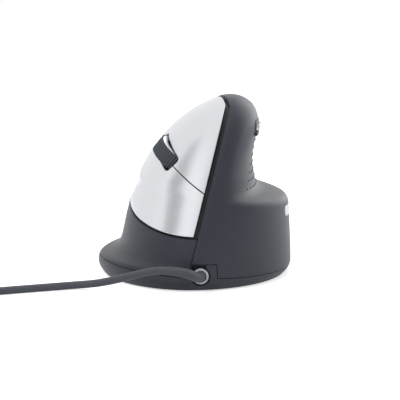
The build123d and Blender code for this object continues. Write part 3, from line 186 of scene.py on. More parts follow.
class EffectGroups:
    """Shader node groups that the finishes share."""

    peel_scale = 55.0
    wear_scale = 240.0
    speck_scale = 420.0
    bevel_samples = 4

    def __init__(self) -> None:
        """Build each group once."""
        self.grain = self._build_grain()
        self.drift = self._build_drift()
        self.edges = self._build_edges()
        self.dust = self._build_dust()

    @staticmethod
    def _group(name: str, inputs: dict[str, object], outputs: dict[str, str]) -> tuple:
        """Make an empty group with its sockets.

        Args:
            name: the group's name.
            inputs: default value of each input, a number or a colour.
            outputs: socket type of each output.

        Returns:
            The group, its sheet, its input node and its output node.
        """
        tree = bpy.data.node_groups.new(name, "ShaderNodeTree")
        for label, value in inputs.items():
            kind = "NodeSocketColor" if isinstance(value, tuple) else "NodeSocketFloat"
            socket = tree.interface.new_socket(label, in_out="INPUT", socket_type=kind)
            socket.default_value = (*value, 1.0) if isinstance(value, tuple) else value
        for label, kind in outputs.items():
            tree.interface.new_socket(label, in_out="OUTPUT", socket_type=kind)
        sheet = NodeSheet(tree)
        return tree, sheet, sheet.add("NodeGroupInput"), sheet.add("NodeGroupOutput")

    def _build_grain(self) -> bpy.types.NodeTree:
        """Fine texture of a moulding: pits and a soft orange peel."""
        tree, sheet, given, result = self._group(
            "moulded grain",
            {"Scale": 900.0, "Depth": 1.0, "Roughness": 0.5, "Spread": 0.06},
            {"Height": "NodeSocketFloat", "Roughness": "NodeSocketFloat"},
        )
        place = sheet.add("ShaderNodeTexCoord").outputs["Object"]
        fine = sheet.add("ShaderNodeTexNoise", Detail=3.0)
        pits = sheet.add("ShaderNodeTexVoronoi")
        broad = sheet.add("ShaderNodeTexNoise", Scale=self.peel_scale, Detail=2.0)
        for node in (fine, pits, broad):
            sheet.link(place, node.inputs["Vector"])
        for node in (fine, pits):
            sheet.link(given.outputs["Scale"], node.inputs["Scale"])
        mixed = sheet.maths("ADD", fine.outputs["Fac"], pits.outputs["Distance"])
        sheet.link(sheet.maths("MULTIPLY", mixed, given.outputs["Depth"]), result.inputs["Height"])
        centred = sheet.maths("SUBTRACT", broad.outputs["Fac"], 0.5)
        spread = sheet.maths("MULTIPLY", centred, given.outputs["Spread"])
        sheet.link(sheet.maths("ADD", given.outputs["Roughness"], spread), result.inputs["Roughness"])
        return tree

    def _build_drift(self) -> bpy.types.NodeTree:
        """Slow drift of a colour's lightness over the surface."""
        tree, sheet, given, result = self._group(
            "colour drift",
            {"Colour": (0.5, 0.5, 0.5), "Amount": 0.1, "Scale": 30.0},
            {"Colour": "NodeSocketColor"},
        )
        place = sheet.add("ShaderNodeTexCoord").outputs["Object"]
        noise = sheet.add("ShaderNodeTexNoise", Detail=4.0)
        sheet.link(place, noise.inputs["Vector"])
        sheet.link(given.outputs["Scale"], noise.inputs["Scale"])
        centred = sheet.maths("SUBTRACT", noise.outputs["Fac"], 0.5)
        swing = sheet.maths("MULTIPLY", centred, given.outputs["Amount"])
        shade = sheet.add("ShaderNodeHueSaturation")
        sheet.link(sheet.maths("ADD", swing, 1.0), shade.inputs["Value"])
        sheet.link(given.outputs["Colour"], shade.inputs["Color"])
        sheet.link(shade.outputs["Color"], result.inputs["Colour"])
        return tree

    def _build_edges(self) -> bpy.types.NodeTree:
        """Softened edges: a rounded normal and a mask of worn corners."""
        tree, sheet, given, result = self._group(
            "soft edges",
            {"Radius": 0.0004, "Wear": 0.3},
            {"Normal": "NodeSocketVector", "Mask": "NodeSocketFloat"},
        )
        bevel = sheet.add("ShaderNodeBevel", samples=self.bevel_samples)
        sheet.link(given.outputs["Radius"], bevel.inputs["Radius"])
        sheet.link(bevel.outputs["Normal"], result.inputs["Normal"])
        true = sheet.add("ShaderNodeNewGeometry").outputs["Normal"]
        dot = sheet.add("ShaderNodeVectorMath", operation="DOT_PRODUCT")
        sheet.link(bevel.outputs["Normal"], dot.inputs[0])
        sheet.link(true, dot.inputs[1])
        place = sheet.add("ShaderNodeTexCoord").outputs["Object"]
        patches = sheet.add("ShaderNodeTexNoise", Scale=self.wear_scale, Detail=3.0)
        sheet.link(place, patches.inputs["Vector"])
        turned = sheet.maths("SUBTRACT", 1.0, dot.outputs["Value"])
        patchy = sheet.maths("MULTIPLY", turned, patches.outputs["Fac"])
        mask = sheet.add("ShaderNodeMath", operation="MULTIPLY", use_clamp=True)
        sheet.link(patchy, mask.inputs[0])
        sheet.link(given.outputs["Wear"], mask.inputs[1])
        sheet.link(mask.outputs["Value"], result.inputs["Mask"])
        return tree

    def _build_dust(self) -> bpy.types.NodeTree:
        """Thin dust on what faces up."""
        tree, sheet, given, result = self._group(
            "settled dust",
            {"Colour": (0.5, 0.5, 0.5), "Dust": (0.55, 0.54, 0.52), "Amount": 0.05},
            {"Colour": "NodeSocketColor"},
        )
        normal = sheet.add("ShaderNodeNewGeometry").outputs["Normal"]
        axes = sheet.add("ShaderNodeSeparateXYZ")
        sheet.link(normal, axes.inputs["Vector"])
        place = sheet.add("ShaderNodeTexCoord").outputs["Object"]
        specks = sheet.add("ShaderNodeTexNoise", Scale=self.speck_scale, Detail=5.0)
        sheet.link(place, specks.inputs["Vector"])
        up = sheet.maths("MAXIMUM", axes.outputs["Z"], 0.0)
        lying = sheet.maths("MULTIPLY", up, specks.outputs["Fac"])
        share = sheet.maths("MULTIPLY", lying, given.outputs["Amount"])
        dusty = sheet.mixed(share, given.outputs["Colour"], given.outputs["Dust"])
        sheet.link(dusty, result.inputs["Colour"])
        return tree


@dataclass(frozen=True)
class Finish:
    """One finish of the mouse.

    `roughness` wanders by `spread` and the colour's lightness by `drift`. `grain` is how fine the
    moulded texture is and `depth` how strong. Edges look rounded by `edge`, and `wear` of them
    shows the `worn` colour. `shine` is the plain reflection's strength.
    """

    slot: str
    surface: Surface
    colour: Colour
    roughness: float = 0.5
    spread: float = 0.06
    grain: float = 900.0
    depth: float = 0.15
    drift: float = 0.08
    edge: float = 0.35 * MM
    wear: float = 0.25
    worn: Colour = (0.3, 0.3, 0.31)
    dust: float = 0.04
    metallic: float = 0.0
    coat: float = 0.0
    sheen: float = 0.0
    shine: float = 0.5
    grain_height: float = 0.02 * MM
    clearness: float = 0.9
    coat_roughness: float = 0.18

    def build(self, groups: EffectGroups) -> bpy.types.Material:
        """Make the finish's material.

        Args:
            groups: the shared effects.

        Returns:
            The material.
        """
        material = bpy.data.materials.new(self.slot)
        material.use_nodes = True
        sheet = NodeSheet(material.node_tree)
        shader = sheet.add("ShaderNodeBsdfPrincipled")
        output = sheet.add("ShaderNodeOutputMaterial")
        sheet.link(shader.outputs["BSDF"], output.inputs["Surface"])
        drift = self._place(sheet, groups.drift, Colour=(*self.colour, 1.0), Amount=self.drift)
        dust = self._place(sheet, groups.dust, Amount=self.dust)
        edges = self._place(sheet, groups.edges, Radius=self.edge, Wear=self.wear)
        grain = self._place(
            sheet, groups.grain, Scale=self.grain, Roughness=self.roughness, Spread=self.spread
        )
        sheet.link(drift.outputs["Colour"], dust.inputs["Colour"])
        worn = sheet.mixed(edges.outputs["Mask"], dust.outputs["Colour"], self.worn)
        sheet.link(worn, shader.inputs["Base Color"])
        sheet.link(grain.outputs["Roughness"], shader.inputs["Roughness"])
        bump = sheet.add("ShaderNodeBump", Strength=self.depth, Distance=self.grain_height)
        sheet.link(grain.outputs["Height"], bump.inputs["Height"])
        sheet.link(edges.outputs["Normal"], bump.inputs["Normal"])
        sheet.link(bump.outputs["Normal"], shader.inputs["Normal"])
        self._set_surface(shader)
        return material

    @staticmethod
    def _place(sheet: NodeSheet, tree: bpy.types.NodeTree, **values: object) -> bpy.types.Node:
        """Place a group in a material.

        Args:
            sheet: the material's nodes.
            tree: the group.
            values: the group's inputs by name.

        Returns:
            The group's node.
        """
        node = sheet.add("ShaderNodeGroup", node_tree=tree)
        for name, value in values.items():
            node.inputs[name].default_value = value
        return node

    def _set_surface(self, shader: bpy.types.Node) -> None:
        """Set the shader's plain sockets for the kind of surface.

        Args:
            shader: the material's shader node.
        """
        shader.inputs["Metallic"].default_value = self.metallic
        shader.inputs["Coat Weight"].default_value = self.coat
        shader.inputs["Specular IOR Level"].default_value = self.shine
        if self.surface is Surface.CLEAR:
            shader.inputs["Transmission Weight"].default_value = self.clearness
        if self.surface is Surface.LACQUER:
            shader.inputs["Coat Roughness"].default_value = self.coat_roughness
        if self.surface is Surface.CLOTH:
            shader.inputs["Sheen Weight"].default_value = self.sheen


FINISHES = (
    Finish("shell_grey", Surface.PLASTIC, (0.028, 0.031, 0.041), roughness=0.40, grain=1100.0,
           depth=0.10, edge=0.45 * MM, wear=0.12, worn=(0.10, 0.105, 0.12), dust=0.03, shine=0.28),
    Finish("tray_black", Surface.PLASTIC, (0.024, 0.028, 0.037), roughness=0.44, grain=800.0,
           depth=0.20, wear=0.15, worn=(0.08, 0.08, 0.09), dust=0.03, shine=0.35),
    Finish("groove_black", Surface.PLASTIC, (0.008, 0.009, 0.011), roughness=0.45, drift=0.05,
           wear=0.1, worn=(0.04, 0.04, 0.045), dust=0.02),
    Finish("panel_silver", Surface.LACQUER, (0.70, 0.71, 0.74), roughness=0.24, spread=0.05,
           grain=2400.0, depth=0.05, drift=0.03, edge=0.5 * MM, wear=0.08, worn=(0.5, 0.5, 0.52),
           dust=0.02, metallic=0.85, coat=0.2),
    Finish("button_silver", Surface.LACQUER, (0.52, 0.53, 0.56), roughness=0.30, grain=2400.0,
           depth=0.05, drift=0.03, wear=0.1, worn=(0.5, 0.5, 0.5), dust=0.02, metallic=0.6, coat=0.3),
    Finish("wheel_silver", Surface.LACQUER, (0.70, 0.72, 0.75), roughness=0.28, grain=2000.0,
           depth=0.06, drift=0.05, wear=0.2, worn=(0.4, 0.4, 0.4), metallic=0.6, coat=0.2),
    Finish("tyre_rubber", Surface.RUBBER, (0.050, 0.056, 0.062), roughness=0.62, grain=1500.0,
           depth=0.25, drift=0.15, edge=0.2 * MM, wear=0.3, worn=(0.12, 0.12, 0.12), dust=0.10,
           shine=0.35),
    Finish("cord_rubber", Surface.RUBBER, (0.050, 0.054, 0.064), roughness=0.55, grain=1400.0,
           depth=0.15, drift=0.10, edge=0.2 * MM, wear=0.0, dust=0.08, shine=0.35),
    Finish("gland_grey", Surface.PLASTIC, (0.40, 0.41, 0.43), roughness=0.45, drift=0.06, wear=0.2,
           worn=(0.5, 0.5, 0.5)),
    Finish("foot_slip", Surface.PLASTIC, (0.30, 0.31, 0.33), roughness=0.38, grain=1600.0,
           depth=0.2, drift=0.15, wear=0.4, worn=(0.5, 0.5, 0.5)),
    Finish("board_green", Surface.LACQUER, (0.020, 0.130, 0.060), roughness=0.35, drift=0.2,
           coat=0.3, wear=0.1, worn=(0.3, 0.35, 0.2)),
    Finish("chip_black", Surface.PLASTIC, (0.022, 0.022, 0.025), roughness=0.6, grain=1800.0,
           depth=0.3),
    Finish("connector_white", Surface.PLASTIC, (0.78, 0.75, 0.68), roughness=0.4, drift=0.05),
    Finish("can_metal", Surface.METAL, (0.72, 0.73, 0.75), roughness=0.3, metallic=1.0, wear=0.2,
           worn=(0.4, 0.4, 0.4)),
    Finish("steel", Surface.METAL, (0.56, 0.57, 0.60), roughness=0.34, metallic=1.0, drift=0.12,
           wear=0.3, worn=(0.3, 0.3, 0.3)),
    Finish("plated_shell", Surface.METAL, (0.76, 0.77, 0.79), roughness=0.18, metallic=1.0,
           drift=0.06, wear=0.2, worn=(0.5, 0.45, 0.4)),
    Finish("contact_gold", Surface.METAL, (0.85, 0.62, 0.28), roughness=0.25, metallic=1.0,
           drift=0.1, wear=0.2, worn=(0.5, 0.4, 0.3)),
    Finish("lens_clear", Surface.CLEAR, (0.86, 0.90, 0.94), roughness=0.06, depth=0.02, drift=0.02,
           wear=0.0, dust=0.0),
    Finish("ribbon_grey", Surface.PLASTIC, (0.50, 0.51, 0.53), roughness=0.5, grain=500.0,
           depth=0.3),
    Finish("switch_black", Surface.PLASTIC, (0.028, 0.028, 0.031), roughness=0.45),
    Finish("plunger_white", Surface.PLASTIC, (0.82, 0.82, 0.80), roughness=0.35),
    Finish("strap_black", Surface.CLOTH, (0.028, 0.028, 0.030), roughness=0.9, grain=2200.0,
           depth=0.9, drift=0.25, wear=0.0, dust=0.12, sheen=0.4),
)


class FinishRack:
    """All finishes by their slot's name, and the dressing of the frame's own nodes."""

    def __init__(self) -> None:
        """Build every finish once."""
        groups = EffectGroups()
        self.materials = {finish.slot: finish.build(groups) for finish in FINISHES}

    def paint(self, piece: bpy.types.Object, slot: str) -> None:
        """Give a piece one finish.

        Args:
            piece: the object to paint.
            slot: the finish's name.
        """
        piece.data.materials.clear()
        piece.data.materials.append(self.materials[slot])

    def dress_frame(self, frame: dict) -> None:
        """Paint each node of the frame with its slot's finish.
        """
        slots = {row["node"]: row["material_slot"] for row in frame["record"]["subparts"]}
        for name, node in frame["nodes"].items():
            self.paint(node, slots[name])
            log.info("dressed %s in %s", name, slots[name])


@dataclass(frozen=True)
class CordSet:
    """The cord from the gland to the plug, with its tapering strain relief.

    `route` leads from inside the gland to the coil and `tail` from the coil to the plug, as
    control points. The coil winds in on the desk, climbs one layer and winds out again, with
    `turns_each` turns a layer. The strain relief covers `boot_share` of the cord's length.
    """

    rack: FinishRack
    radius: float = 2.0 * MM
    boot_root: float = 2.85 * MM
    boot_end: float = 2.2 * MM
    boot_share: float = 0.0185
    boot_steps: int = 40
    sides: int = 28
    route: tuple[Point, ...] = (
        (0.0033, -0.0586, 0.0083),
        (0.0033, -0.0690, 0.0083),
        (-0.0035, -0.0755, 0.0132),
        (-0.0180, -0.0720, 0.0142),
        (-0.0330, -0.0655, 0.0092),
        (-0.0480, -0.0580, 0.0040),
        (-0.0620, -0.0545, 0.0022),
        (-0.0770, -0.0595, 0.0021),
        (-0.0920, -0.0650, 0.0021),
        (-0.1080, -0.0715, 0.0022),
        (-0.1240, -0.0740, 0.0026),
        (-0.1360, -0.0740, 0.0026),
    )
    tail: tuple[Point, ...] = (
        (-0.1440, -0.0740, 0.0071),
        (-0.1530, -0.0740, 0.0071),
        (-0.1640, -0.0723, 0.0056),
        (-0.1740, -0.0670, 0.0040),
        (-0.1810, -0.0580, 0.0040),
    )
    centre: tuple[float, float] = (-0.140, -0.041)
    coil_radius: float = 33.0 * MM
    pitch: float = 4.5 * MM
    turns_each: float = 4.25
    low: float = 2.6 * MM
    per_turn: int = 16
    length: float = 1.50
    exit: Point = (0.0033, -0.0622, 0.0083)
    end_ring_rise: float = 0.25 * MM
    end_ring_inset: float = 0.08 * MM
    end_cap_rise: float = 0.4 * MM

    def coil_point(self, turn: float) -> Point:
        """Point of the coil after so many turns: in, up a layer, and out again.

        Args:
            turn: how many turns have been wound.

        Returns:
            The control point.
        """
        inner = self.coil_radius - self.turns_each * self.pitch
        climb_end = self.turns_each + 0.5
        if turn < self.turns_each:
            radius, height = self.coil_radius - turn * self.pitch, self.low
        elif turn < climb_end:
            phi = 2 * math.pi * (turn - self.turns_each)
            share = phi / math.pi
            radius = inner - self.pitch / (2 * math.pi) * (phi - phi * phi / math.pi)
            height = self.low + self.pitch * share * share * (3 - 2 * share)
        else:
            radius, height = inner + (turn - climb_end) * self.pitch, self.low + self.pitch
        radius /= math.cos(math.pi / self.per_turn)
        angle = -math.pi / 2 - 2 * math.pi * turn
        x, y = self.centre
        return x + radius * math.cos(angle), y + radius * math.sin(angle), height

    def control_points(self) -> list[Point]:
        """Gather the cord's control points.

        Returns:
            All of them, from the gland to the plug.
        """
        last = 2 * self.turns_each + 0.5
        count = round(self.per_turn * last)
        coil = [self.coil_point(last * k / count) for k in range(1, count)]
        return [*self.route, *coil, *self.tail]

    def build_cord(self) -> bpy.types.Object:
        """Make the cord as one smooth curve.

        Returns:
            The curve object.
        """
        curve = bpy.data.curves.new("cord_line", "CURVE")
        curve.dimensions = "3D"
        spline = curve.splines.new("NURBS")
        points = self.control_points()
        spline.points.add(len(points) - 1)
        for point, place in zip(spline.points, points):
            point.co = (*place, 1.0)
        spline.order_u = 3
        spline.use_endpoint_u = True
        spline.resolution_u = 6
        curve.bevel_depth = self.radius
        curve.bevel_resolution = 6
        curve.use_fill_caps = True
        cord = bpy.data.objects.new("usb_cord", curve)
        bpy.context.scene.collection.objects.link(cord)
        return cord

    def centreline(self, cord: bpy.types.Object) -> list[Vector]:
        """Points along the cord's own line.

        Args:
            cord: the cord's curve object.

        Returns:
            The line's points, in order.
        """
        line = cord.copy()
        line.data = cord.data.copy()
        line.data.bevel_depth = 0.0
        bpy.context.scene.collection.objects.link(line)
        bpy.context.view_layer.update()
        shown = line.evaluated_get(bpy.context.evaluated_depsgraph_get())
        mesh = bpy.data.meshes.new_from_object(shown)
        points = [vertex.co.copy() for vertex in mesh.vertices]
        bpy.data.objects.remove(line)
        bpy.data.meshes.remove(mesh)
        return points

    def build_boot(self, line: list[Vector]) -> bpy.types.Object:
        """Make the tapering strain relief along the cord's first stretch.

        Args:
            line: the cord's centreline.

        Returns:
            The strain relief.
        """
        total = sum((b - a).length for a, b in zip(line, line[1:]))
        reach, run, path = total * self.boot_share, 0.0, [line[0]]
        for before, here in zip(line, line[1:]):
            run += (here - before).length
            path.append(here)
            if run > reach:
                break
        stations = resample(path, self.boot_steps)
        mesh = bmesh.new()
        rings = []
        for k, (place, way) in enumerate(stations):
            share = k / (self.boot_steps - 1)
            radius = self.boot_root + share * (self.boot_end - self.boot_root)
            rings.append(ring(mesh, place, way, radius, self.sides))
        tip, way = stations[-1]
        rounding = (
            (self.end_ring_rise, self.boot_end - self.end_ring_inset),
            (self.end_cap_rise, self.radius),
        )
        for rise, radius in rounding:
            rings.append(ring(mesh, tip + way * rise, way, radius, self.sides))
        bridge(mesh, rings)
        mesh.faces.new(list(reversed(rings[0])))
        mesh.faces.new(rings[-1])
        return finish_mesh(mesh, "cord_boot")

    def build(self, on_cord: list[bpy.types.Object]) -> None:
        """Args:
            on_cord: the plug's pieces and the strap; not used.
        """
        cord = self.build_cord()
        self.rack.paint(cord, "cord_rubber")
        boot = self.build_boot(self.centreline(cord))
        self.rack.paint(boot, "cord_rubber")
        for piece, nodes in ((cord, ("cord", "cord_coil", "cord_tail")), (boot, ("strain_relief",))):
            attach(piece, "mouse")
            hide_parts(*nodes)
        log.info("built the cord, its strain relief and its coil")


@dataclass(frozen=True)
class Rounding:
    """How the moulding or pressing of one small piece rounds its edges.

    Edges that turn by more than `sharp` degrees get the radius in so many steps, once points
    closer than `merge` are one.
    """

    node: str
    radius: float
    steps: int = 3
    merge: float = 0.02 * MM
    sharp: float = 30.0


@dataclass(frozen=True)
class SmallParts:
    """The small pieces, with the rounded edges that a mould or press gives them.

    Faces within `flat` of each other are taken as one.
    """

    frame: dict
    rack: FinishRack
    roundings: tuple[Rounding, ...] = (
        Rounding("wheel_tyre", 0.15 * MM),
        Rounding("wheel_hub", 0.20 * MM),
        Rounding("forward_button", 0.30 * MM, merge=0.05 * MM),
        Rounding("back_button", 0.30 * MM, merge=0.05 * MM),
        Rounding("thumb_bezel", 0.15 * MM, merge=0.05 * MM),
        Rounding("cable_gland", 0.25 * MM),
        Rounding("side_plate", 0.15 * MM, merge=0.03 * MM),
        Rounding("glide_feet", 0.15 * MM),
        Rounding("coil_tie", 0.15 * MM),
        Rounding("plug_body", 0.60 * MM, steps=4),
        Rounding("plug_shell", 0.08 * MM, steps=2),
        Rounding("plug_insert", 0.10 * MM, steps=2),
        Rounding("plug_contacts", 0.04 * MM, steps=2, merge=0.005 * MM),
    )
    flat: float = math.radians(1.0)
    same_point: float = 0.001 * MM

    def slots(self) -> dict[str, str]:
        """Material slot of each node."""
        return {row["node"]: row["material_slot"] for row in self.frame["record"]["subparts"]}

    def bodies(self) -> dict[str, str]:
        """Body of each node."""
        bodies = self.frame["record"]["behaviour"]["bodies"]
        return {node: body for body, nodes in bodies.items() for node in nodes}

    def rounded(self, rounding: Rounding) -> bpy.types.Object:
        """Make one piece with its hard edges rounded.

        Args:
            rounding: the node and its radius.

        Returns:
            The new piece, in its node's place.
        """
        mesh = bmesh.new()
        mesh.from_mesh(self.frame["nodes"][rounding.node].data)
        bmesh.ops.remove_doubles(mesh, verts=mesh.verts, dist=self.same_point)
        bmesh.ops.dissolve_limit(mesh, angle_limit=self.flat, verts=mesh.verts, edges=mesh.edges)
        bmesh.ops.remove_doubles(mesh, verts=mesh.verts, dist=rounding.merge)
        limit = math.radians(rounding.sharp)
        hard = [edge for edge in mesh.edges if edge.is_manifold and edge.calc_face_angle() > limit]
        ends = list({vertex for edge in hard for vertex in edge.verts})
        bmesh.ops.bevel(mesh, geom=hard + ends, offset=rounding.radius, offset_type="OFFSET",
                        segments=rounding.steps, profile=0.5, affect="EDGES", clamp_overlap=True)
        piece = finish_mesh(mesh, f"rounded_{rounding.node}")
        piece.data.set_sharp_from_angle(angle=limit)
        return piece

    def build(self) -> list[bpy.types.Object]:
        """Build all of them in place of their nodes.

        Returns:
            The pieces that lie on the cord.
        """
        slots, bodies = self.slots(), self.bodies()
        on_cord = []
        for rounding in self.roundings:
            piece = self.rounded(rounding)
            slot = slots[rounding.node]
            self.rack.paint(piece, slot)
            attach(piece, bodies[rounding.node])
            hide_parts(rounding.node)
            if rounding.node.startswith(("plug", "coil")):
                on_cord.append(piece)
            log.info("rounded the edges of %s", rounding.node)
        return on_cord


def resample(path: list[Vector], count: int) -> list[tuple[Vector, Vector]]:
    """Evenly spaced places and headings along a path.

    Args:
        path: points of the path.
        count: how many places.

    Returns:
        Pairs of a place and its heading.
    """
    lengths = [0.0]
    for before, here in zip(path, path[1:]):
        lengths.append(lengths[-1] + (here - before).length)
    found = []
    for k in range(count):
        goal = lengths[-1] * k / (count - 1)
        i = max(j for j in range(len(path) - 1) if lengths[j] <= goal)
        share = (goal - lengths[i]) / max(lengths[i + 1] - lengths[i], 1e-9)
        found.append(path[i].lerp(path[i + 1], share))
    ways = []
    for k in range(count):
        ways.append((found[min(k + 1, count - 1)] - found[max(k - 1, 0)]).normalized())
    return list(zip(found, ways))


def ring(mesh: bmesh.types.BMesh, place: Vector, way: Vector, radius: float, sides: int) -> list:
    """Ring of vertices square to a heading.

    Args:
        mesh: the mesh to add to.
        place: the ring's middle.
        way: the heading.
        radius: the ring's radius.
        sides: how many vertices.

    Returns:
        The ring's vertices, in order.
    """
    side = way.cross(Vector((0, 0, 1))).normalized()
    up = side.cross(way).normalized()
    verts = []
    for k in range(sides):
        angle = 2 * math.pi * k / sides
        verts.append(mesh.verts.new(place + (side * math.cos(angle) + up * math.sin(angle)) * radius))
    return verts


def bridge(mesh: bmesh.types.BMesh, rings: list[list]) -> None:
    """Join neighbouring rings with quads.

    Args:
        mesh: the mesh that holds them.
        rings: rings of equal numbers of vertices, in order.
    """
    for low, high in zip(rings, rings[1:]):
        count = len(low)
        for k in range(count):
            j = (k + 1) % count
            mesh.faces.new((low[k], low[j], high[j], high[k]))


def finish_mesh(mesh: bmesh.types.BMesh, name: str) -> bpy.types.Object:
    """Turn a bmesh into a smooth shaded object.

    Args:
        mesh: the finished bmesh.
        name: the object's name.

    Returns:
        The object.
    """
    bmesh.ops.recalc_face_normals(mesh, faces=mesh.faces)
    data = bpy.data.meshes.new(name)
    mesh.to_mesh(data)
    mesh.free()
    for polygon in data.polygons:
        polygon.use_smooth = True
    piece = bpy.data.objects.new(name, data)
    bpy.context.scene.collection.objects.link(piece)
    return piece


@dataclass(frozen=True)
class Patch:
    """Dimmer or brighter patch of the studio, by its direction from the mouse.

    Its level holds within `inner` degrees of that direction and fades out by `outer`. A `flat`
    below one stretches it upward.
    """

    azimuth: float
    elevation: float
    inner: float
    outer: float
    level: float
    flat: float = 0.45

    def mask(self, sheet: NodeSheet, ways: bpy.types.NodeSocket) -> bpy.types.NodeSocket:
        """How bright the patch makes each direction.

        Args:
            sheet: the world's nodes.
            ways: the direction that is looked up.

        Returns:
            One away from the patch, its level inside it.
        """
        turn, tilt = math.radians(self.azimuth), math.radians(self.elevation)
        middle = Vector((math.cos(turn) * math.cos(tilt), math.sin(turn) * math.cos(tilt),
                         math.sin(tilt) * self.flat)).normalized()
        squashed = sheet.add("ShaderNodeVectorMath", operation="MULTIPLY")
        sheet.link(ways, squashed.inputs[0])
        squashed.inputs[1].default_value = (1.0, 1.0, self.flat)
        unit = sheet.add("ShaderNodeVectorMath", operation="NORMALIZE")
        sheet.link(squashed.outputs["Vector"], unit.inputs[0])
        near = sheet.add("ShaderNodeVectorMath", operation="DOT_PRODUCT")
        sheet.link(unit.outputs["Vector"], near.inputs[0])
        near.inputs[1].default_value = middle
        fade = sheet.add("ShaderNodeMapRange", interpolation_type="SMOOTHERSTEP")
        sheet.link(near.outputs["Value"], fade.inputs["Value"])
        fade.inputs["From Min"].default_value = math.cos(math.radians(self.outer))
        fade.inputs["From Max"].default_value = math.cos(math.radians(self.inner))
        fade.inputs["To Min"].default_value = 1.0
        fade.inputs["To Max"].default_value = self.level
        return fade.outputs["Result"]


@dataclass(frozen=True)
class Softbox:
    """Square soft lamp that faces the mouse: its place and side in metres, its power in watts."""

    name: str
    place: Point
    side: float
    power: float


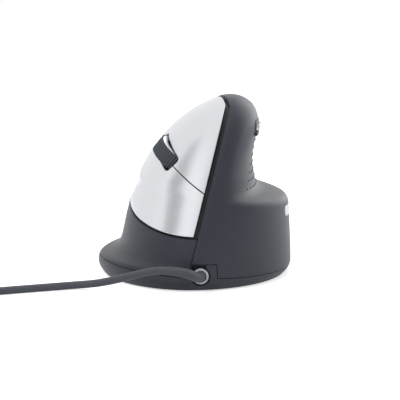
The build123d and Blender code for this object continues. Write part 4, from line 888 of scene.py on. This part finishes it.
@dataclass(frozen=True)
class Studio:
    """Camera at the photograph's angle, pale floor and soft lamps."""

    elevation: float = 9.0
    distance: float = 0.720
    target: Point = (0.003, 0.0, 0.0382)
    focal_pixels: float = 1296.0
    frame_pixels: float = 400.0
    sensor: float = 36.0
    floor_size: float = 6.0
    floor_colour: Colour = (0.90, 0.90, 0.91)
    floor_roughness: float = 0.9
    floor_shine: float = 0.1
    ambient: Colour = (0.80, 0.82, 0.85)
    ambient_strength: float = 0.62
    floor_glow: float = 0.55
    floor_gloss: float = 0.30
    patches: tuple[Patch, ...] = (
        Patch(azimuth=203.5, elevation=24.0, inner=2.0, outer=18.0, level=0.50, flat=0.35),
        Patch(azimuth=236.0, elevation=20.0, inner=4.0, outer=20.0, level=1.18),
        Patch(azimuth=182.0, elevation=15.0, inner=2.0, outer=14.0, level=1.10),
        Patch(azimuth=300.0, elevation=10.0, inner=15.0, outer=55.0, level=0.30),
        Patch(azimuth=35.0, elevation=15.0, inner=10.0, outer=50.0, level=2.8),
    )
    softboxes: tuple[Softbox, ...] = (
        Softbox("key_box", (-0.7, -0.6, 0.9), 0.7, 7.0),
        Softbox("fill_box", (0.8, -0.7, 0.6), 0.8, 4.0),
        Softbox("top_box", (0.1, 0.5, 1.1), 0.9, 5.0),
    )
    nearest: float = 0.01

    def build_camera(self) -> None:
        """Place the camera."""
        data = bpy.data.cameras.new("camera")
        data.sensor_width = self.sensor
        data.sensor_fit = "HORIZONTAL"
        data.lens = self.focal_pixels / self.frame_pixels * self.sensor
        data.clip_start = self.nearest
        camera = bpy.data.objects.new("camera", data)
        bpy.context.scene.collection.objects.link(camera)
        tilt = math.radians(self.elevation)
        way = Vector((0, math.cos(tilt), -math.sin(tilt)))
        camera.location = Vector(self.target) - way * self.distance
        camera.rotation_euler = way.to_track_quat("-Z", "Y").to_euler()
        bpy.context.scene.camera = camera

    def build_floor(self) -> None:
        """Lay the pale floor, white where the camera sees it lit."""
        mesh = bmesh.new()
        bmesh.ops.create_grid(mesh, x_segments=1, y_segments=1, size=self.floor_size / 2)
        floor = finish_mesh(mesh, "floor")
        material = bpy.data.materials.new("floor_paper")
        material.use_nodes = True
        sheet = NodeSheet(material.node_tree)
        shader = sheet.add("ShaderNodeBsdfPrincipled", Roughness=self.floor_roughness)
        shader.inputs["Base Color"].default_value = (*self.floor_colour, 1.0)
        shader.inputs["Specular IOR Level"].default_value = self.floor_shine
        glow = sheet.add("ShaderNodeEmission")
        both = sheet.add("ShaderNodeAddShader")
        output = sheet.add("ShaderNodeOutputMaterial")
        path = sheet.add("ShaderNodeLightPath")
        direct = sheet.maths("MULTIPLY", sheet.background_rays(path), self.floor_glow)
        gloss = sheet.maths("MULTIPLY", path.outputs[Ray.GLOSSY.value], self.floor_gloss)
        sheet.link(sheet.maths("MAXIMUM", direct, gloss), glow.inputs["Strength"])
        sheet.link(shader.outputs["BSDF"], both.inputs[0])
        sheet.link(glow.outputs["Emission"], both.inputs[1])
        sheet.link(both.outputs["Shader"], output.inputs["Surface"])
        floor.data.materials.append(material)

    def build_world(self) -> None:
        """Give each kind of ray its own surroundings.

        Rays that see the background find plain white, glossy ones the patches and the others an
        even ambient light.
        """
        world = bpy.data.worlds.new("studio")
        bpy.context.scene.world = world
        world.use_nodes = True
        sheet = NodeSheet(world.node_tree)
        plain = sheet.add("ShaderNodeBackground", Color=WHITE, Strength=1.0)
        boxes = sheet.add("ShaderNodeBackground", Color=WHITE)
        ways = sheet.add("ShaderNodeTexCoord").outputs["Generated"]
        level = 1.0
        for patch in self.patches:
            level = sheet.maths("MULTIPLY", patch.mask(sheet, ways), level)
        sheet.link(level, boxes.inputs["Strength"])
        soft = sheet.add(
            "ShaderNodeBackground", Color=(*self.ambient, 1.0), Strength=self.ambient_strength
        )
        path = sheet.add("ShaderNodeLightPath")
        gloss = sheet.add("ShaderNodeMixShader")
        choice = sheet.add("ShaderNodeMixShader")
        output = sheet.add("ShaderNodeOutputWorld")
        sheet.link(path.outputs[Ray.GLOSSY.value], gloss.inputs["Fac"])
        sheet.link(soft.outputs["Background"], gloss.inputs[1])
        sheet.link(boxes.outputs["Background"], gloss.inputs[2])
        sheet.link(sheet.background_rays(path), choice.inputs["Fac"])
        sheet.link(gloss.outputs["Shader"], choice.inputs[1])
        sheet.link(plain.outputs["Background"], choice.inputs[2])
        sheet.link(choice.outputs["Shader"], output.inputs["Surface"])

    def hang(self, box: Softbox) -> None:
        """Hang one softbox.

        Args:
            box: the softbox.
        """
        data = bpy.data.lights.new(box.name, "AREA")
        data.size = box.side
        data.energy = box.power
        lamp = bpy.data.objects.new(box.name, data)
        lamp.visible_glossy = False
        bpy.context.scene.collection.objects.link(lamp)
        lamp.location = box.place
        way = Vector(self.target) - Vector(box.place)
        lamp.rotation_euler = way.to_track_quat("-Z", "Y").to_euler()

    def build(self) -> None:
        """Build the whole studio."""
        self.build_camera()
        self.build_floor()
        self.build_world()
        for box in self.softboxes:
            self.hang(box)
        bpy.context.scene.view_settings.view_transform = "Standard"


def main() -> None:
    """Build every sub-assembly's looks around the frame."""
    logging.basicConfig(level=logging.INFO)
    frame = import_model()
    rack = FinishRack()
    rack.dress_frame(frame)
    on_cord = SmallParts(frame, rack).build()
    CordSet(rack).build(on_cord)
    Studio().build()


if __name__ == "__main__":
    main()
